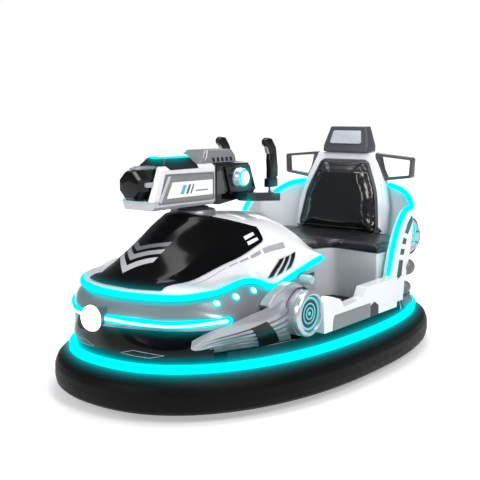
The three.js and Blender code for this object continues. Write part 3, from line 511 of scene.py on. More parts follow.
def plate(name, outline, plane, lo, hi, mats, body="chassis", bev=0.003, seg=3, smooth=38, r=0.0, taper=0.0):
    """An outline given thickness. taper pulls the far face in towards its middle."""
    P = fillet(outline, r) if r else [np.asarray(p, float) for p in outline]
    mid = sum(P) / len(P)
    A = [onto(plane, p[0], p[1], lo) for p in P]
    Q = [mid + (p - mid) * (1 - taper) for p in P]
    B = [onto(plane, p[0], p[1], hi) for p in Q]
    return rings(name, [A, B], mats, body, bev=bev, seg=seg, smooth=smooth)


def hoop(name, outer, inner, plane, lo, hi, mats, body="chassis", bev=0.003, r_out=0.0, r_in=0.0, seg=3):
    """A flat frame: an outline with a hole."""
    O = fillet(outer, r_out) if r_out else [np.asarray(p, float) for p in outer]
    I = fillet(inner, r_in) if r_in else [np.asarray(p, float) for p in inner]
    assert len(O) == len(I)
    R = [
        [onto(plane, p[0], p[1], lo) for p in O],
        [onto(plane, p[0], p[1], hi) for p in O],
        [onto(plane, p[0], p[1], hi) for p in I],
        [onto(plane, p[0], p[1], lo) for p in I],
    ]
    return rings(name, R, mats, body, closed=True, bev=bev, seg=seg)


def lathe(name, profile, axis, centre, mats, body="chassis", seg=64, smooth=30, idx=None, bev=0.0, phase=0.0):
    """Turns (radius, along) points round a line. idx gives each span's material."""
    R = []
    for r, h in profile:
        ring = []
        for k in range(seg):
            a = 2 * math.pi * k / seg + phase
            c, s = r * math.cos(a), r * math.sin(a)
            p = {"X": (h, c, s), "Y": (c, h, s), "Z": (c, s, h)}[axis]
            ring.append([p[i] + centre[i] for i in range(3)])
        R.append(ring)
    V, F, FM = [], [], []
    start = []
    for (r, h), ring in zip(profile, R):
        start.append(len(V))
        if r < 1e-6:
            V.append(ring[0])
        else:
            V += ring
    for i in range(len(profile) - 1):
        a, b = start[i], start[i + 1]
        ra, rb = profile[i][0] < 1e-6, profile[i + 1][0] < 1e-6
        m = idx[i] if idx else 0
        for k in range(seg):
            q = (k + 1) % seg
            if ra and rb:
                continue
            if ra:
                F.append((a, b + k, b + q))
            elif rb:
                F.append((a + k, b, a + q))
            else:
                F.append((a + k, b + k, b + q, a + q))
            FM.append(m)
    o = build(name, V, F, mats, body, smooth, FM)
    if bev:
        bevel(o, bev, 2, 30)
    return o


def tube(name, P, r, mats, body="chassis", sides=16, closed=False, k=6, squash=(1.0, 1.0), up=(0, 0, 1), ends=True, smooth=60):
    """A round or oval bar along a smooth line, with domed ends."""
    P = np.asarray(P, float)
    if k > 1:
        if closed:
            Q = np.concatenate([P[-3:], P, P[:3]])
            Q = catmull(Q, k)
            P = Q[3 * k : -3 * k]
            P = P[: len(P)]
        else:
            P = catmull(P, k)
    n = len(P)
    T = np.gradient(P, axis=0) if not closed else (np.roll(P, -1, 0) - np.roll(P, 1, 0))
    T /= np.linalg.norm(T, axis=1, keepdims=True)
    up = np.asarray(up, float)
    R = []

    def ring(p, t, f):
        side = np.cross(t, up)
        side /= np.linalg.norm(side)
        top = np.cross(side, t)
        return [
            p + f * r * (squash[0] * math.cos(2 * math.pi * i / sides) * side + squash[1] * math.sin(2 * math.pi * i / sides) * top)
            for i in range(sides)
        ]

    if ends and not closed:
        for q in (0.05, 0.35, 0.65, 0.87):
            R.append(ring(P[0] - T[0] * r * math.sqrt(1 - q * q), T[0], q))
    for p, t in zip(P, T):
        R.append(ring(p, t, 1.0))
    if ends and not closed:
        for q in (0.87, 0.65, 0.35, 0.05):
            R.append(ring(P[-1] + T[-1] * r * math.sqrt(1 - q * q), T[-1], q))
    return rings(name, R, mats, body, closed=closed, smooth=smooth)


def patch(name, S, uv, mats, body="chassis", slot=None, off=0.0006, thick=0.0, n=6):
    """A thin graphic on a sheet: a four-cornered region of it, given in its own units, just proud of it."""
    (a, b, c, d) = [np.asarray(p, float) for p in uv]
    P = np.zeros((n + 1, n + 1, 3))
    for i in range(n + 1):
        for j in range(n + 1):
            s, t = i / n, j / n
            q = (1 - s) * ((1 - t) * a + t * b) + s * ((1 - t) * d + t * c)
            P[i, j] = S.at(q[0], q[1], off)
    return sheet_mesh(name, P, mats, body)


def slab(name, S, uv, mats, body="chassis", off=0.002, back=-0.002, n=8, bev=0.001):
    """A solid tile lying on a sheet: a four-cornered region of it between two heights."""
    (a, b, c, d) = [np.asarray(p, float) for p in uv]
    T, B = np.zeros((n + 1, n + 1, 3)), np.zeros((n + 1, n + 1, 3))
    for i in range(n + 1):
        for j in range(n + 1):
            s, t = i / n, j / n
            q = (1 - s) * ((1 - t) * a + t * b) + s * ((1 - t) * d + t * c)
            T[i, j] = S.at(q[0], q[1], off)
            B[i, j] = S.at(q[0], q[1], back)
    return wall(name, T, B, mats, body=body, smooth=30, bev=bev, seg=2)


def both_sides(half):
    H = np.asarray(half, float)
    M = H[:, 1:][:, ::-1].copy()
    M[..., 1] *= -1
    return np.concatenate([M, H], axis=1)


def hide_as(o, *nodes):
    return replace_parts(o, *nodes)

# ------------------------------------------------------------------ bumper ring and its light
RA, RB = 0.975, 0.604


def rim(d, t):
    c, s = math.cos(t), math.sin(t)
    n = 2.29 if c > 0 else 2.48
    return math.copysign((RA - d) * abs(c) ** (2 / n), c), math.copysign((RB - d) * abs(s) ** (2 / n), s)


def around(name, section, mats, steps=264, smooth=30, face_mat=None):
    R = []
    for i in range(steps):
        t = 2 * math.pi * (i + 0.5) / steps
        R.append([(*rim(d, t), z) for d, z in section])
    return rings(name, R, mats, closed=True, smooth=smooth, face_mat=face_mat)


section = fillet(
    [(0.018, 0.032), (0.004, 0.046), (0.0, 0.070), (0.001, 0.108), (0.011, 0.134), (0.037, 0.151), (0.053, 0.1667), (0.118, 0.1667), (0.118, 0.060), (0.100, 0.032)],
    [0.006, 0.010, 0.02, 0.03, 0.022, 0.012, 0.004, 0.002, 0.002, 0.003],
    4,
)
o = around("bumper_ring_rubber", section, RUBBER)
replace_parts(o, "bumper_ring")
section = fillet([(0.055, 0.1671), (0.055, 0.184), (0.064, 0.195), (0.076, 0.195), (0.086, 0.184), (0.086, 0.1671)], [0, 0.008, 0.008, 0.008, 0.008, 0], 3)
o = around("ring_light_tube", section, CYAN, smooth=50)
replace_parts(o, "ring_light_strip")


def foot(x, y, inset, z):
    a, b, n = RA - inset, RB - inset, 2.29 if x > 0 else 2.48
    k = ((abs(x) / a) ** n + (abs(y) / b) ** n) ** (-1 / n)
    return (x * k, y * k, z)


# ------------------------------------------------------------------ hood, canopy and hood light
HOOD = [
    [(0.849, 0, 0.434), (0.846, 0.065, 0.434), (0.833, 0.13, 0.434), (0.809, 0.19, 0.434), (0.78, 0.24, 0.435), (0.744, 0.278, 0.439)],
    [(0.839, 0, 0.443), (0.835, 0.065, 0.443), (0.82, 0.128, 0.445), (0.79, 0.183, 0.449), (0.75, 0.245, 0.446), (0.7, 0.307, 0.444)],
    [(0.765, 0, 0.525), (0.74, 0.085, 0.515), (0.7, 0.165, 0.487), (0.68, 0.19, 0.456), (0.65, 0.257, 0.452), (0.62, 0.321, 0.452)],
    [(0.69, 0, 0.583), (0.65, 0.085, 0.57), (0.59, 0.16, 0.527), (0.57, 0.19, 0.47), (0.55, 0.265, 0.463), (0.53, 0.336, 0.468)],
    [(0.62, 0, 0.63), (0.56, 0.09, 0.62), (0.48, 0.156, 0.566), (0.46, 0.192, 0.492), (0.45, 0.275, 0.477), (0.44, 0.348, 0.449)],
    [(0.565, 0, 0.662), (0.47, 0.105, 0.648), (0.36, 0.156, 0.6), (0.35, 0.199, 0.515), (0.355, 0.287, 0.482), (0.37, 0.357, 0.4236)],
    [(0.52, 0, 0.679), (0.4, 0.12, 0.65), (0.24, 0.163, 0.607), (0.232, 0.203, 0.553), (0.26, 0.297, 0.49), (0.3, 0.367, 0.443)],
    [(0.42, 0, 0.679), (0.31, 0.115, 0.65), (0.19, 0.168, 0.607), (0.188, 0.217, 0.566), (0.2, 0.306, 0.5), (0.22, 0.374, 0.467)],
    [(0.28, 0, 0.666), (0.21, 0.108, 0.646), (0.14, 0.168, 0.607), (0.139, 0.222, 0.569), (0.14, 0.31, 0.515), (0.14, 0.379, 0.4875)],
    [(0.13, 0, 0.652), (0.12, 0.1, 0.641), (0.09, 0.167, 0.603), (0.089, 0.226, 0.567), (0.088, 0.308, 0.522), (0.085, 0.38, 0.4985)],
    [(0.02, 0, 0.64), (0.032, 0.09, 0.626), (0.036, 0.167, 0.592), (0.038, 0.23, 0.56), (0.036, 0.3, 0.514), (0.04, 0.362, 0.497)],
]
KU = KV = 8


def hood_sheet():
    G = both_sides(HOOD)
    U = catmull(G, KU)
    hard = across(U, KV, (2, 3, 7, 8))
    soft = across(U, KV)
    u = np.arange(len(U)) / KU
    w = np.clip((8.6 - u) / 2.4, 0, 1)
    w = (w * w * (3 - 2 * w))[:, None, None]
    return Surf(w * hard + (1 - w) * soft, KU, KV, (0, 0, 1))


hood_s = hood_sheet()
o = wall("hood_shell", hood_s.P, hood_s.moved(-0.007), WHITE, smooth=24, bev=0.002)
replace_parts(o, "hood")


def canopy_points(off, a=1.0, b=6.18, nu=66):
    rows = []
    vs = [*np.linspace(-3, -2, 9)[:-1], *np.linspace(-2, 2, 37), *np.linspace(2, 3, 9)[1:]]
    for u in np.linspace(a, b, nu):
        vm = 3.0
        if u > 5.9:
            vm = 2.3 + 0.7 * math.sqrt(max(0.0, 1 - ((u - 5.9) / 0.28) ** 2))
        if u < 1.12:
            vm = 2.8 + 0.2 * math.sqrt(max(0.0, 1 - ((1.12 - u) / 0.12) ** 2))
        k = 0.045 * (1 - (u - a) / (b - a)) ** 2
        rows.append([hood_s.at(u - k * v * v, 5 + (v if abs(v) <= 2 else math.copysign(2 + (abs(v) - 2) * (vm - 2), v)), off) for v in vs])
    return np.array(rows)


o = wall("canopy_panel", canopy_points(0.005), canopy_points(0.0003), CANOPYBLACK, smooth=20, bev=0.0018)
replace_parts(o, "canopy")
edge = [HOOD[i][5] for i in range(9, 0, -1)] + list(reversed(HOOD[0]))
line = [(x, y, z - 0.0134) for x, y, z in edge]
line = np.array(line + [(x, -y, z) for x, y, z in reversed(line[:-1])])
T = np.gradient(line[:, :2], axis=0)
T /= np.linalg.norm(T, axis=1, keepdims=True)
line[:, 0] -= T[:, 1] * 0.004
line[:, 1] += T[:, 0] * 0.004
o = tube("hood_light_tube", line, 0.0102, CYAN, k=8, sides=20)
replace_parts(o, "hood_light_strip")

# ------------------------------------------------------------------ nose band and headlamp
BAND = [
    [(0.848, 0, 0.409), (0.888, 0, 0.388), (0.93, 0, 0.352), (0.924, 0, 0.316)],
    [(0.845, 0.062, 0.409), (0.882, 0.064, 0.388), (0.921, 0.066, 0.352), (0.906, 0.066, 0.315)],
    [(0.832, 0.124, 0.409), (0.862, 0.127, 0.388), (0.897, 0.13, 0.352), (0.876, 0.125, 0.312)],
    [(0.809, 0.18, 0.409), (0.835, 0.188, 0.388), (0.863, 0.193, 0.352), (0.842, 0.182, 0.309)],
    [(0.78, 0.232, 0.41), (0.8, 0.242, 0.388), (0.822, 0.248, 0.352), (0.806, 0.238, 0.307)],
    [(0.742, 0.272, 0.414), (0.757, 0.292, 0.39), (0.772, 0.305, 0.353), (0.758, 0.312, 0.31)],
    [(0.697, 0.303, 0.418), (0.702, 0.331, 0.393), (0.705, 0.366, 0.356), (0.693, 0.38, 0.317)],
    [(0.62, 0.32, 0.427), (0.622, 0.351, 0.4), (0.622, 0.383, 0.363), (0.618, 0.402, 0.328)],
    [(0.53, 0.335, 0.442), (0.532, 0.362, 0.412), (0.534, 0.386, 0.377), (0.54, 0.402, 0.346)],
    [(0.44, 0.347, 0.424), (0.442, 0.366, 0.407), (0.446, 0.384, 0.387), (0.452, 0.398, 0.367)],
    [(0.37, 0.356, 0.399), (0.374, 0.369, 0.392), (0.377, 0.379, 0.384), (0.38, 0.388, 0.374)],
]


def whole(rows):
    R = np.asarray(rows, float)
    M = R[1:][::-1].copy()
    M[..., 1] *= -1
    return np.concatenate([M, R])


band_s = Surf(across(catmull(whole(BAND), 5), 6), 5, 6, (1, 0, 0))
o = wall("nose_band_shell", band_s.P, band_s.moved(-0.007), SILVER, smooth=30, bev=0.0022)
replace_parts(o, "nose_band")
o = lathe(
    "headlamp_drum",
    [(0, 0.900), (0.034, 0.900), (0.034, 0.9505), (0.0455, 0.9505), (0.0475, 0.9525), (0.0478, 0.9585), (0.0468, 0.9605), (0.0458, 0.9625), (0.0445, 0.9690), (0.040, 0.9760), (0.031, 0.9815), (0.017, 0.9845), (0, 0.9855)],
    "X",
    (0, 0, 0.350),
    [GREY, LAMP],
    idx=[0, 0, 0, 0, 0, 0, 1, 1, 1, 1, 1, 1],
    smooth=50,
)
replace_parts(o, "headlamp")

# ------------------------------------------------------------------ fascia under the band
rows = []
for i in range(7):
    t = np.array(BAND[i][3])
    if i == 6:
        t = np.array((0.708, 0.345, 0.302))
    n2 = np.array((t[0] / RA**2, t[1] / RB**2))
    n2 /= np.linalg.norm(n2)
    up = np.array((t[0] - 0.012 * n2[0], t[1] - 0.012 * n2[1], t[2] - 0.0015))
    f = np.array(foot(t[0], t[1], 0.097, 0.1677))
    m = (up + f) / 2
    k = (0.010, 0.012, 0.018, 0.025, 0.028, 0.014, 0.002)[i]
    rows.append([up, m + np.array((k * n2[0], k * n2[1], 0.008)), f])
fascia_s = Surf(across(catmull(whole(rows), 5), 7), 5, 7, (1, 0, 0))
o = wall("front_fascia_panel", fascia_s.P, fascia_s.moved(-0.006), CANOPYBLACK, smooth=34, bev=0.0015)
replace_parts(o, "front_fascia")

# ------------------------------------------------------------------ front fenders with their louvres
FENDER = []
for low, top, b in [
    ((0.791, 0.287, 0.229), (0.797, 0.258, 0.247), 0.004),
    ((0.715, 0.317, 0.222), (0.736, 0.345, 0.308), 0.016),
    ((0.618, 0.340, 0.216), (0.676, 0.396, 0.334), 0.026),
    ((0.515, 0.386, 0.216), (0.590, 0.426, 0.358), 0.030),
    ((0.412, 0.405, 0.214), (0.505, 0.436, 0.372), 0.026),
    ((0.345, 0.420, 0.214), (0.432, 0.436, 0.398), 0.018),
]:
    low, top, n = np.array(low), np.array(top), np.array((0.28, 0.93, 0.22))
    FENDER.append([low, low + 0.33 * (top - low) + b * n, low + 0.68 * (top - low) + b * n, top])
fender_s = Surf(across(catmull(FENDER, 12), 12), 12, 12, (0, 1, 0))


def fender_points(off, cuts=()):
    vs = sorted({round(v, 4) for v in [*np.linspace(0, 3, 25), *[c + d for c in cuts for d in (-0.085, -0.06, 0.06, 0.085)]]})
    out = []
    for u in np.linspace(0, 5, 51):
        row = []
        for v in vs:
            dip = min(max((u - 0.5) / 1.6, 0), 1) if any(abs(v - c) < 0.065 for c in cuts) else 0
            row.append(fender_s.at(u, v, off - 0.007 * dip))
        out.append(row)
    return np.array(out)


CUTS = (0.3, 0.68, 1.06, 1.44, 1.82)
o = wall("front_fender_left_shell", fender_points(0, CUTS), fender_points(-0.009, ()) if not CUTS else fender_points(-0.008, CUTS), LIGHTSILVER, smooth=30, bev=0.002)
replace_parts(o, "front_fender_left")
mirrored(o, replaces=["front_fender_right"])
# black vent block on each fender
VENT = [(2.66, 1.86), (3.39, 2.01), (4.10, 0.12), (3.09, 0.05)]
o = slab("fender_vent_left", fender_s, VENT, SATIN, off=0.0045, back=-0.006)
mirrored(o)

# ------------------------------------------------------------------ hubs with light rings
HX, HZ = 0.323, 0.318
hub_profile = [
    (0, 0.393), (0.078, 0.393), (0.0832, 0.397), (0.084, 0.402), (0.084, 0.470), (0.0815, 0.471), (0.0815, 0.4735), (0.084, 0.4745), (0.084, 0.484), (0.0825, 0.4915), (0.0785, 0.4965),
    (0.0725, 0.4985), (0.0675, 0.4975), (0.0655, 0.492), (0.0645, 0.487), (0.0605, 0.4868), (0.0600, 0.4895), (0.0525, 0.4895), (0.0520, 0.4868), (0.0382, 0.4868),
    (0.0378, 0.4885), (0.0338, 0.4885), (0.0334, 0.4868), (0.0224, 0.4868), (0.0220, 0.4905), (0.0185, 0.4905), (0.0181, 0.4868), (0.0070, 0.4868), (0.0060, 0.4895), (0, 0.4905),
]
hub_mats = [0] * 14 + [1, 2, 2, 2, 1, 2, 2, 2, 1, 2, 2, 2, 1, 2, 2]
while len(hub_mats) < len(hub_profile) - 1:
    hub_mats.append(2)
hub_profile = [(r * 1.05, y) for r, y in hub_profile]
o = lathe("side_hub_left_drum", hub_profile, "Y", (HX, 0, HZ), [HUBCHROME, BLACK, RINGGLOW], seg=96, idx=hub_mats, smooth=28)
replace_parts(o, "side_hub_left")
mirrored(o, replaces=["side_hub_right"])

# ------------------------------------------------------------------ shoulders and side sills
arc = []
for i in range(15):
    a = rad(5 + 165 * i / 14)
    arc.append((HX + 0.0895 * math.cos(a), HZ + 0.0895 * math.sin(a)))
sh = arc + [(0.222, 0.352), (0.262, 0.395), (0.317, 0.427), (0.370, 0.437), (0.415, 0.428), (0.477, 0.405), (0.520, 0.374), (0.470, 0.330)]
sh_r = [0] * len(arc) + [0.01, 0.03, 0.03, 0.02, 0.02, 0.03, 0.01, 0.02]
o = plate("hub_neck_left", fillet(sh, sh_r), "XZ", 0.396, 0.440, LIGHTSILVER, bev=0.007, seg=4)
mirrored(o)
rail = [(-0.352, 0.222), (0.235, 0.222), (0.243, 0.338), (0.228, 0.347), (0.172, 0.356), (0.120, 0.339), (0.092, 0.304), (-0.062, 0.312), (-0.085, 0.353), (-0.352, 0.356)]
o = plate("side_sill_left_rail", fillet(rail, [0.004, 0.006, 0.010, 0.012, 0.008, 0.008, 0.008, 0.008, 0.008, 0.004]), "XZ", 0.449, 0.500, WHITE, bev=0.005, seg=4)
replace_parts(o, "side_sill_left")
mirrored(o, replaces=["side_sill_right"])
inset_o = [(0.163, 0.282), (-0.115, 0.282), (-0.115, 0.2225), (0.175, 0.2225), (0.172, 0.262)]
o = plate("sill_inlay_left", fillet(inset_o, 0.005), "XZ", 0.4965, 0.5025, MIDGREY3, bev=0.0015)
mirrored(o)
o = plate("sill_notch_left", fillet([(-0.118, 0.270), (-0.150, 0.282), (-0.185, 0.262), (-0.185, 0.2222), (-0.118, 0.2222)], 0.004), "XZ", 0.4965, 0.5012, SATIN, bev=0.001)
mirrored(o)
# latch knob under each corner of the hood
o = lathe("latch_knob_left", [(0, 0.415), (0.016, 0.415), (0.0175, 0.418), (0.0175, 0.462), (0.016, 0.466), (0.012, 0.468), (0, 0.4685)], "Y", (0.272, 0, 0.434), TEAL, seg=40)
mirrored(o)
o = plate("latch_bracket_left", [(0.262, 0.437), (0.232, 0.452), (0.200, 0.452), (0.205, 0.430), (0.232, 0.424)], "XZ", 0.385, 0.430, SATIN, bev=0.003)
mirrored(o)

# ------------------------------------------------------------------ rear lights and pillars
REAR = [
    (-0.745, 0.240, 0.716), (-0.724, 0.280, 0.710), (-0.711, 0.325, 0.697), (-0.694, 0.361, 0.676), (-0.672, 0.386, 0.655), (-0.640, 0.410, 0.638), (-0.595, 0.429, 0.632), (-0.550, 0.436, 0.631),
    (-0.522, 0.436, 0.622), (-0.489, 0.436, 0.592), (-0.462, 0.436, 0.555), (-0.435, 0.436, 0.502), (-0.413, 0.436, 0.448), (-0.397, 0.436, 0.390), (-0.385, 0.436, 0.342),
]
o = tube("rear_light_left_tube", REAR, 0.011, CYAN, k=5, sides=20, up=(0.3, 1, 0.2))
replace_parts(o, "rear_light_strip_left")
mirrored(o, replaces=["rear_light_strip_right"])
pil = [
    (-0.580, 0.612), (-0.548, 0.628), (-0.525, 0.618), (-0.489, 0.586), (-0.459, 0.547), (-0.431, 0.495), (-0.408, 0.440), (-0.391, 0.385), (-0.378, 0.339),
    (-0.356, 0.339), (-0.356, 0.222), (-0.500, 0.222), (-0.511, 0.300), (-0.535, 0.360), (-0.556, 0.430), (-0.576, 0.520),
]
pr = [0.01, 0.02, 0.03, 0.05, 0.05, 0.05, 0.05, 0.05, 0.003, 0.006, 0.008, 0.006, 0.05, 0.05, 0.05, 0.05]
o = plate("pillar_left_shell", fillet(pil, pr), "XZ", 0.411, 0.452, WHITE, bev=0.006, seg=4)
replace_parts(o, "pillar_left")
mirrored(o, replaces=["pillar_right"])
for k, q in enumerate(
    [
        [(-0.562, 0.600), (-0.572, 0.590), (-0.571, 0.572), (-0.531, 0.519), (-0.500, 0.528), (-0.525, 0.568)],
        [(-0.488, 0.506), (-0.520, 0.499), (-0.510, 0.474), (-0.477, 0.481)],
        [(-0.469, 0.460), (-0.503, 0.453), (-0.493, 0.428), (-0.460, 0.435)],
        [(-0.454, 0.411), (-0.489, 0.405), (-0.477, 0.338), (-0.430, 0.319)],
    ]
):
    o = plate(f"pillar_inlay_{k + 1}_left", fillet(q, 0.003), "XZ", 0.449, 0.4532, BLACK, bev=0.0008, seg=2)
    mirrored(o)

# ------------------------------------------------------------------ rear shell, turbine discs and stubs
half = [
    [foot(-0.88, 0, 0.107, 0.1677), foot(-0.873, 0.155, 0.107, 0.1677), foot(-0.842, 0.295, 0.107, 0.1677), foot(-0.78, 0.39, 0.107, 0.1677), foot(-0.69, 0.43, 0.107, 0.1677), (-0.52, 0.435, 0.1677)],
    [(-0.872, 0, 0.215), (-0.862, 0.149, 0.215), (-0.819, 0.264, 0.215), (-0.757, 0.338, 0.215), (-0.684, 0.381, 0.215), (-0.525, 0.424, 0.215)],
    [(-0.876, 0, 0.3), (-0.856, 0.14, 0.3), (-0.81, 0.24, 0.3), (-0.75, 0.3, 0.297), (-0.675, 0.35, 0.293), (-0.535, 0.418, 0.29)],
    [(-0.87, 0, 0.46), (-0.858, 0.145, 0.46), (-0.825, 0.265, 0.455), (-0.778, 0.345, 0.445), (-0.72, 0.384, 0.43), (-0.572, 0.424, 0.41)],
    [(-0.857, 0, 0.585), (-0.847, 0.14, 0.585), (-0.815, 0.258, 0.577), (-0.767, 0.343, 0.555), (-0.715, 0.384, 0.523), (-0.585, 0.426, 0.485)],
    [(-0.835, 0, 0.68), (-0.828, 0.13, 0.68), (-0.797, 0.246, 0.668), (-0.746, 0.335, 0.64), (-0.704, 0.384, 0.6), (-0.585, 0.428, 0.56)],
    [(-0.79, 0, 0.712), (-0.785, 0.12, 0.712), (-0.768, 0.243, 0.706), (-0.724, 0.328, 0.689), (-0.686, 0.388, 0.648), (-0.57, 0.430, 0.618)],
    [(-0.767, 0, 0.6), (-0.764, 0.12, 0.6), (-0.754, 0.236, 0.59), (-0.716, 0.318, 0.58), (-0.684, 0.365, 0.565), (-0.575, 0.411, 0.545)],
    [(-0.735, 0, 0.452), (-0.735, 0.12, 0.452), (-0.734, 0.238, 0.452), (-0.712, 0.318, 0.452), (-0.684, 0.363, 0.452), (-0.575, 0.408, 0.452)],
]
rear_s = Surf(across(catmull(both_sides(half), 6), 6), 6, 6, (-1, 0, 0))
o = wall("rear_shell_skin", rear_s.P, rear_s.moved(-0.0035), WHITE, smooth=40, bev=0.001)
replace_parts(o, "rear_shell")
disc = [(0, 0.390), (0.083, 0.390), (0.0855, 0.393), (0.0865, 0.402), (0.0855, 0.4075), (0.082, 0.4095), (0.079, 0.4085), (0.077, 0.408), (0.072, 0.4125), (0.060, 0.424), (0.045, 0.4335), (0.030, 0.4395), (0.0285, 0.4375), (0.025, 0.4375), (0.0235, 0.441), (0.012, 0.4445), (0, 0.4452)]
o = lathe("turbine_disc_left_dome", disc, "Y", (-0.648, 0, 0.492), [MIDGREY, PALE, BLACK, CHROME], seg=96, idx=[2, 2, 2, 2, 2, 2, 2, 1, 1, 1, 1, 2, 2, 2, 1, 1], smooth=28)
dv = np.zeros(len(o.data.vertices) * 3)
o.data.vertices.foreach_get("co", dv)
dv = dv.reshape(-1, 3)
skin = np.interp(dv[:, 0], [-0.78, -0.72, -0.58, -0.52], [0.345, 0.384, 0.426, 0.436]) - 0.0015
dv[:, 1] = np.maximum(dv[:, 1], np.minimum(skin, 0.4075))
o.data.vertices.foreach_set("co", dv.ravel())
o.data.update()
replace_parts(o, "turbine_disc_left")
mirrored(o, replaces=["turbine_disc_right"])
# lit arc and raised vanes on each disc


def dome_y(r):
    rr = [0, 0.012, 0.0235, 0.030, 0.045, 0.060, 0.072, 0.077]
    yy = [0.4452, 0.4445, 0.441, 0.4395, 0.4335, 0.424, 0.4125, 0.408]
    return float(np.interp(r, rr, yy))


arcs = []
for i in range(25):
    a = rad(-52 + 104 * i / 24)
    ax, az = 0.030 * math.cos(a), 0.064 * math.sin(a)
    arcs.append((-0.648 + ax - 0.004, dome_y(math.hypot(ax, az)) + 0.0005, 0.500 + az))
o = tube("turbine_light_left", arcs, 0.0045, CYAN, k=1, sides=10, up=(0, 1, 0))
mirrored(o)
for k in range(8):
    a = 2 * math.pi * k / 8 + 0.2
    q = []
    for t in np.linspace(0, 1, 7):
        r = 0.033 + 0.036 * t
        q.append((-0.648 + r * math.cos(a + 0.5 * t), dome_y(r) + 0.0004, 0.492 + r * math.sin(a + 0.5 * t)))
    o = tube(f"turbine_vane_{k + 1}_left", q, 0.0016, MIDGREY, k=1, sides=8, up=(0, 1, 0))
    mirrored(o)


def turned(name, profile, origin, direction, mats, body="chassis", seg=48, idx=None, smooth=30):
    """A lathe form about any line: profile is (radius, distance along it)."""
    z = Vector(direction).normalized()
    x = z.orthogonal().normalized()
    y = z.cross(x)
    prof3 = []
    V, F, FM, start = [], [], [], []
    for r, h in profile:
        start.append(len(V))
        c = Vector(origin) + z * h
        if r < 1e-6:
            V.append(c)
        else:
            V += [c + r * (math.cos(2 * math.pi * k / seg) * x + math.sin(2 * math.pi * k / seg) * y) for k in range(seg)]
    for i in range(len(profile) - 1):
        a, b = start[i], start[i + 1]
        ra, rb = profile[i][0] < 1e-6, profile[i + 1][0] < 1e-6
        for k in range(seg):
            q = (k + 1) % seg
            if ra and rb:
                continue
            F.append((a, b + k, b + q) if ra else (a + k, b, a + q) if rb else (a + k, b + k, b + q, a + q))
            FM.append(idx[i] if idx else 0)
    return build(name, V, F, mats, body, smooth, FM)


def dome(r, h, back):
    return [(0, -back), (r * 0.72, -back), (r * 0.72, -0.002), (r * 0.98, -0.001), (r * 1.0, 0.003), (r * 1.0, 0.007), (r * 0.96, 0.010), (r * 0.93, 0.0105), (r * 0.92, 0.014)] + [
        (r * 0.92 * math.cos(a), 0.014 + (h - 0.014) * math.sin(a)) for a in np.linspace(0, math.pi / 2, 12)[1:-1]
    ] + [(0, h)]


for k, (org, dr, r, h, back) in enumerate(
    [((-0.553, 0.425, 0.362), (-0.62, 0.76, 0.12), 0.040, 0.050, 0.03), ((-0.530, 0.423, 0.268), (-0.60, 0.74, 0.28), 0.033, 0.047, 0.03), ((-0.560, 0.410, 0.196), (-0.60, 0.70, 0.35), 0.040, 0.056, 0.02)]
):
    o = turned(f"exhaust_dome_{k + 1}_left", dome(r, h, back), org, dr, MIDGREY)
    mirrored(o)

# ------------------------------------------------------------------ small lights and plain markings on the front
def over(S, uv, off):
    return [tuple(S.at(u, v, off)) for u, v in uv]


def between(uv, n=8):
    uv = np.array(uv, float)
    out = []
    for a, b in zip(uv[:-1], uv[1:]):
        out += [tuple(a + (b - a) * k / n) for k in range(n)]
    return out + [tuple(uv[-1])]


low = [(10.65, 2.10), (11.67, 2.17), (12.83, 2.29), (13.94, 2.39), (15.20, 2.37), (16.35, 2.37)]
o = tube("nose_light_bar_left", over(band_s, low, -0.003), 0.0145, CYAN, k=5, sides=18)
mirrored(o)
o = tube("nose_light_core_left", over(band_s, low[:1] + low[1:-1] + [(16.2, 2.37)], 0.0068), 0.0068, CORE, k=5, sides=14)
mirrored(o)
for k, (u, v) in enumerate([(16.285, 0.86), (17.32, 0.83), (18.34, 0.78)]):
    c0, c1 = band_s.at(u, v, 0.0), band_s.at(u, v, 0.01)
    o = turned(
        f"nose_spot_{k + 1}_left",
        [(0, -0.003), (0.0150, -0.003), (0.0155, 0.0012), (0.0145, 0.0026), (0.0122, 0.0028), (0.0118, 0.0036), (0.009, 0.0050), (0.005, 0.0058), (0, 0.0060)],
        tuple(c0),
        tuple(c1 - c0),
        [CYAN, CORE],
        seg=40,
        idx=[0, 0, 0, 0, 1, 1, 1, 1],
    )
    mirrored(o)
for k, q in enumerate([[(5.26, 7.33), (5.74, 7.28), (5.75, 7.46), (5.27, 7.51)], [(5.30, 7.60), (5.80, 7.62), (5.81, 7.80), (5.30, 7.78)]]):
    o = slab(f"canopy_slot_{k + 1}_left", hood_s, q, PLATEWHITE, off=0.0064, back=0.003)
    mirrored(o)
marks = [
    [(1.81, 8.53), (3.81, 8.28), (3.81, 8.32), (1.81, 8.58)],
    [(3.93, 8.28), (4.40, 8.26), (4.36, 8.35), (3.89, 8.36)],
    [(4.52, 8.26), (4.95, 8.25), (4.90, 8.39), (4.46, 8.39)],
    [(5.07, 8.25), (5.60, 8.24), (5.52, 8.43), (4.99, 8.44)],
    [(5.72, 8.24), (7.60, 8.34), (7.35, 8.60), (5.62, 8.49)],
]
for k, q in enumerate(marks):
    o = slab(f"hood_stripe_{k + 1}_left", hood_s, q, DECALGREY, off=0.0008, back=-0.003, bev=0.0002)
    mirrored(o)
for k, (a0, b0) in enumerate([(4.80, 6.15), (5.45, 6.72), (6.10, 7.29)]):
    q = [(a0, 9.72), (a0 + 0.42, 9.70), (b0 + 0.42, 8.98), (b0, 8.98)]
    w = [(a0 - 0.13, 9.78), (a0 + 0.50, 9.76), (b0 + 0.55, 8.92), (b0 - 0.08, 8.92)]
    o = slab(f"hood_bar_edge_{k + 1}_left", hood_s, w, PALEGREY, off=0.0006, back=-0.003, bev=0.0002)
    mirrored(o)
    o = slab(f"hood_bar_{k + 1}_left", hood_s, q, BLACK, off=0.0013, back=-0.003, bev=0.0003)
    mirrored(o)
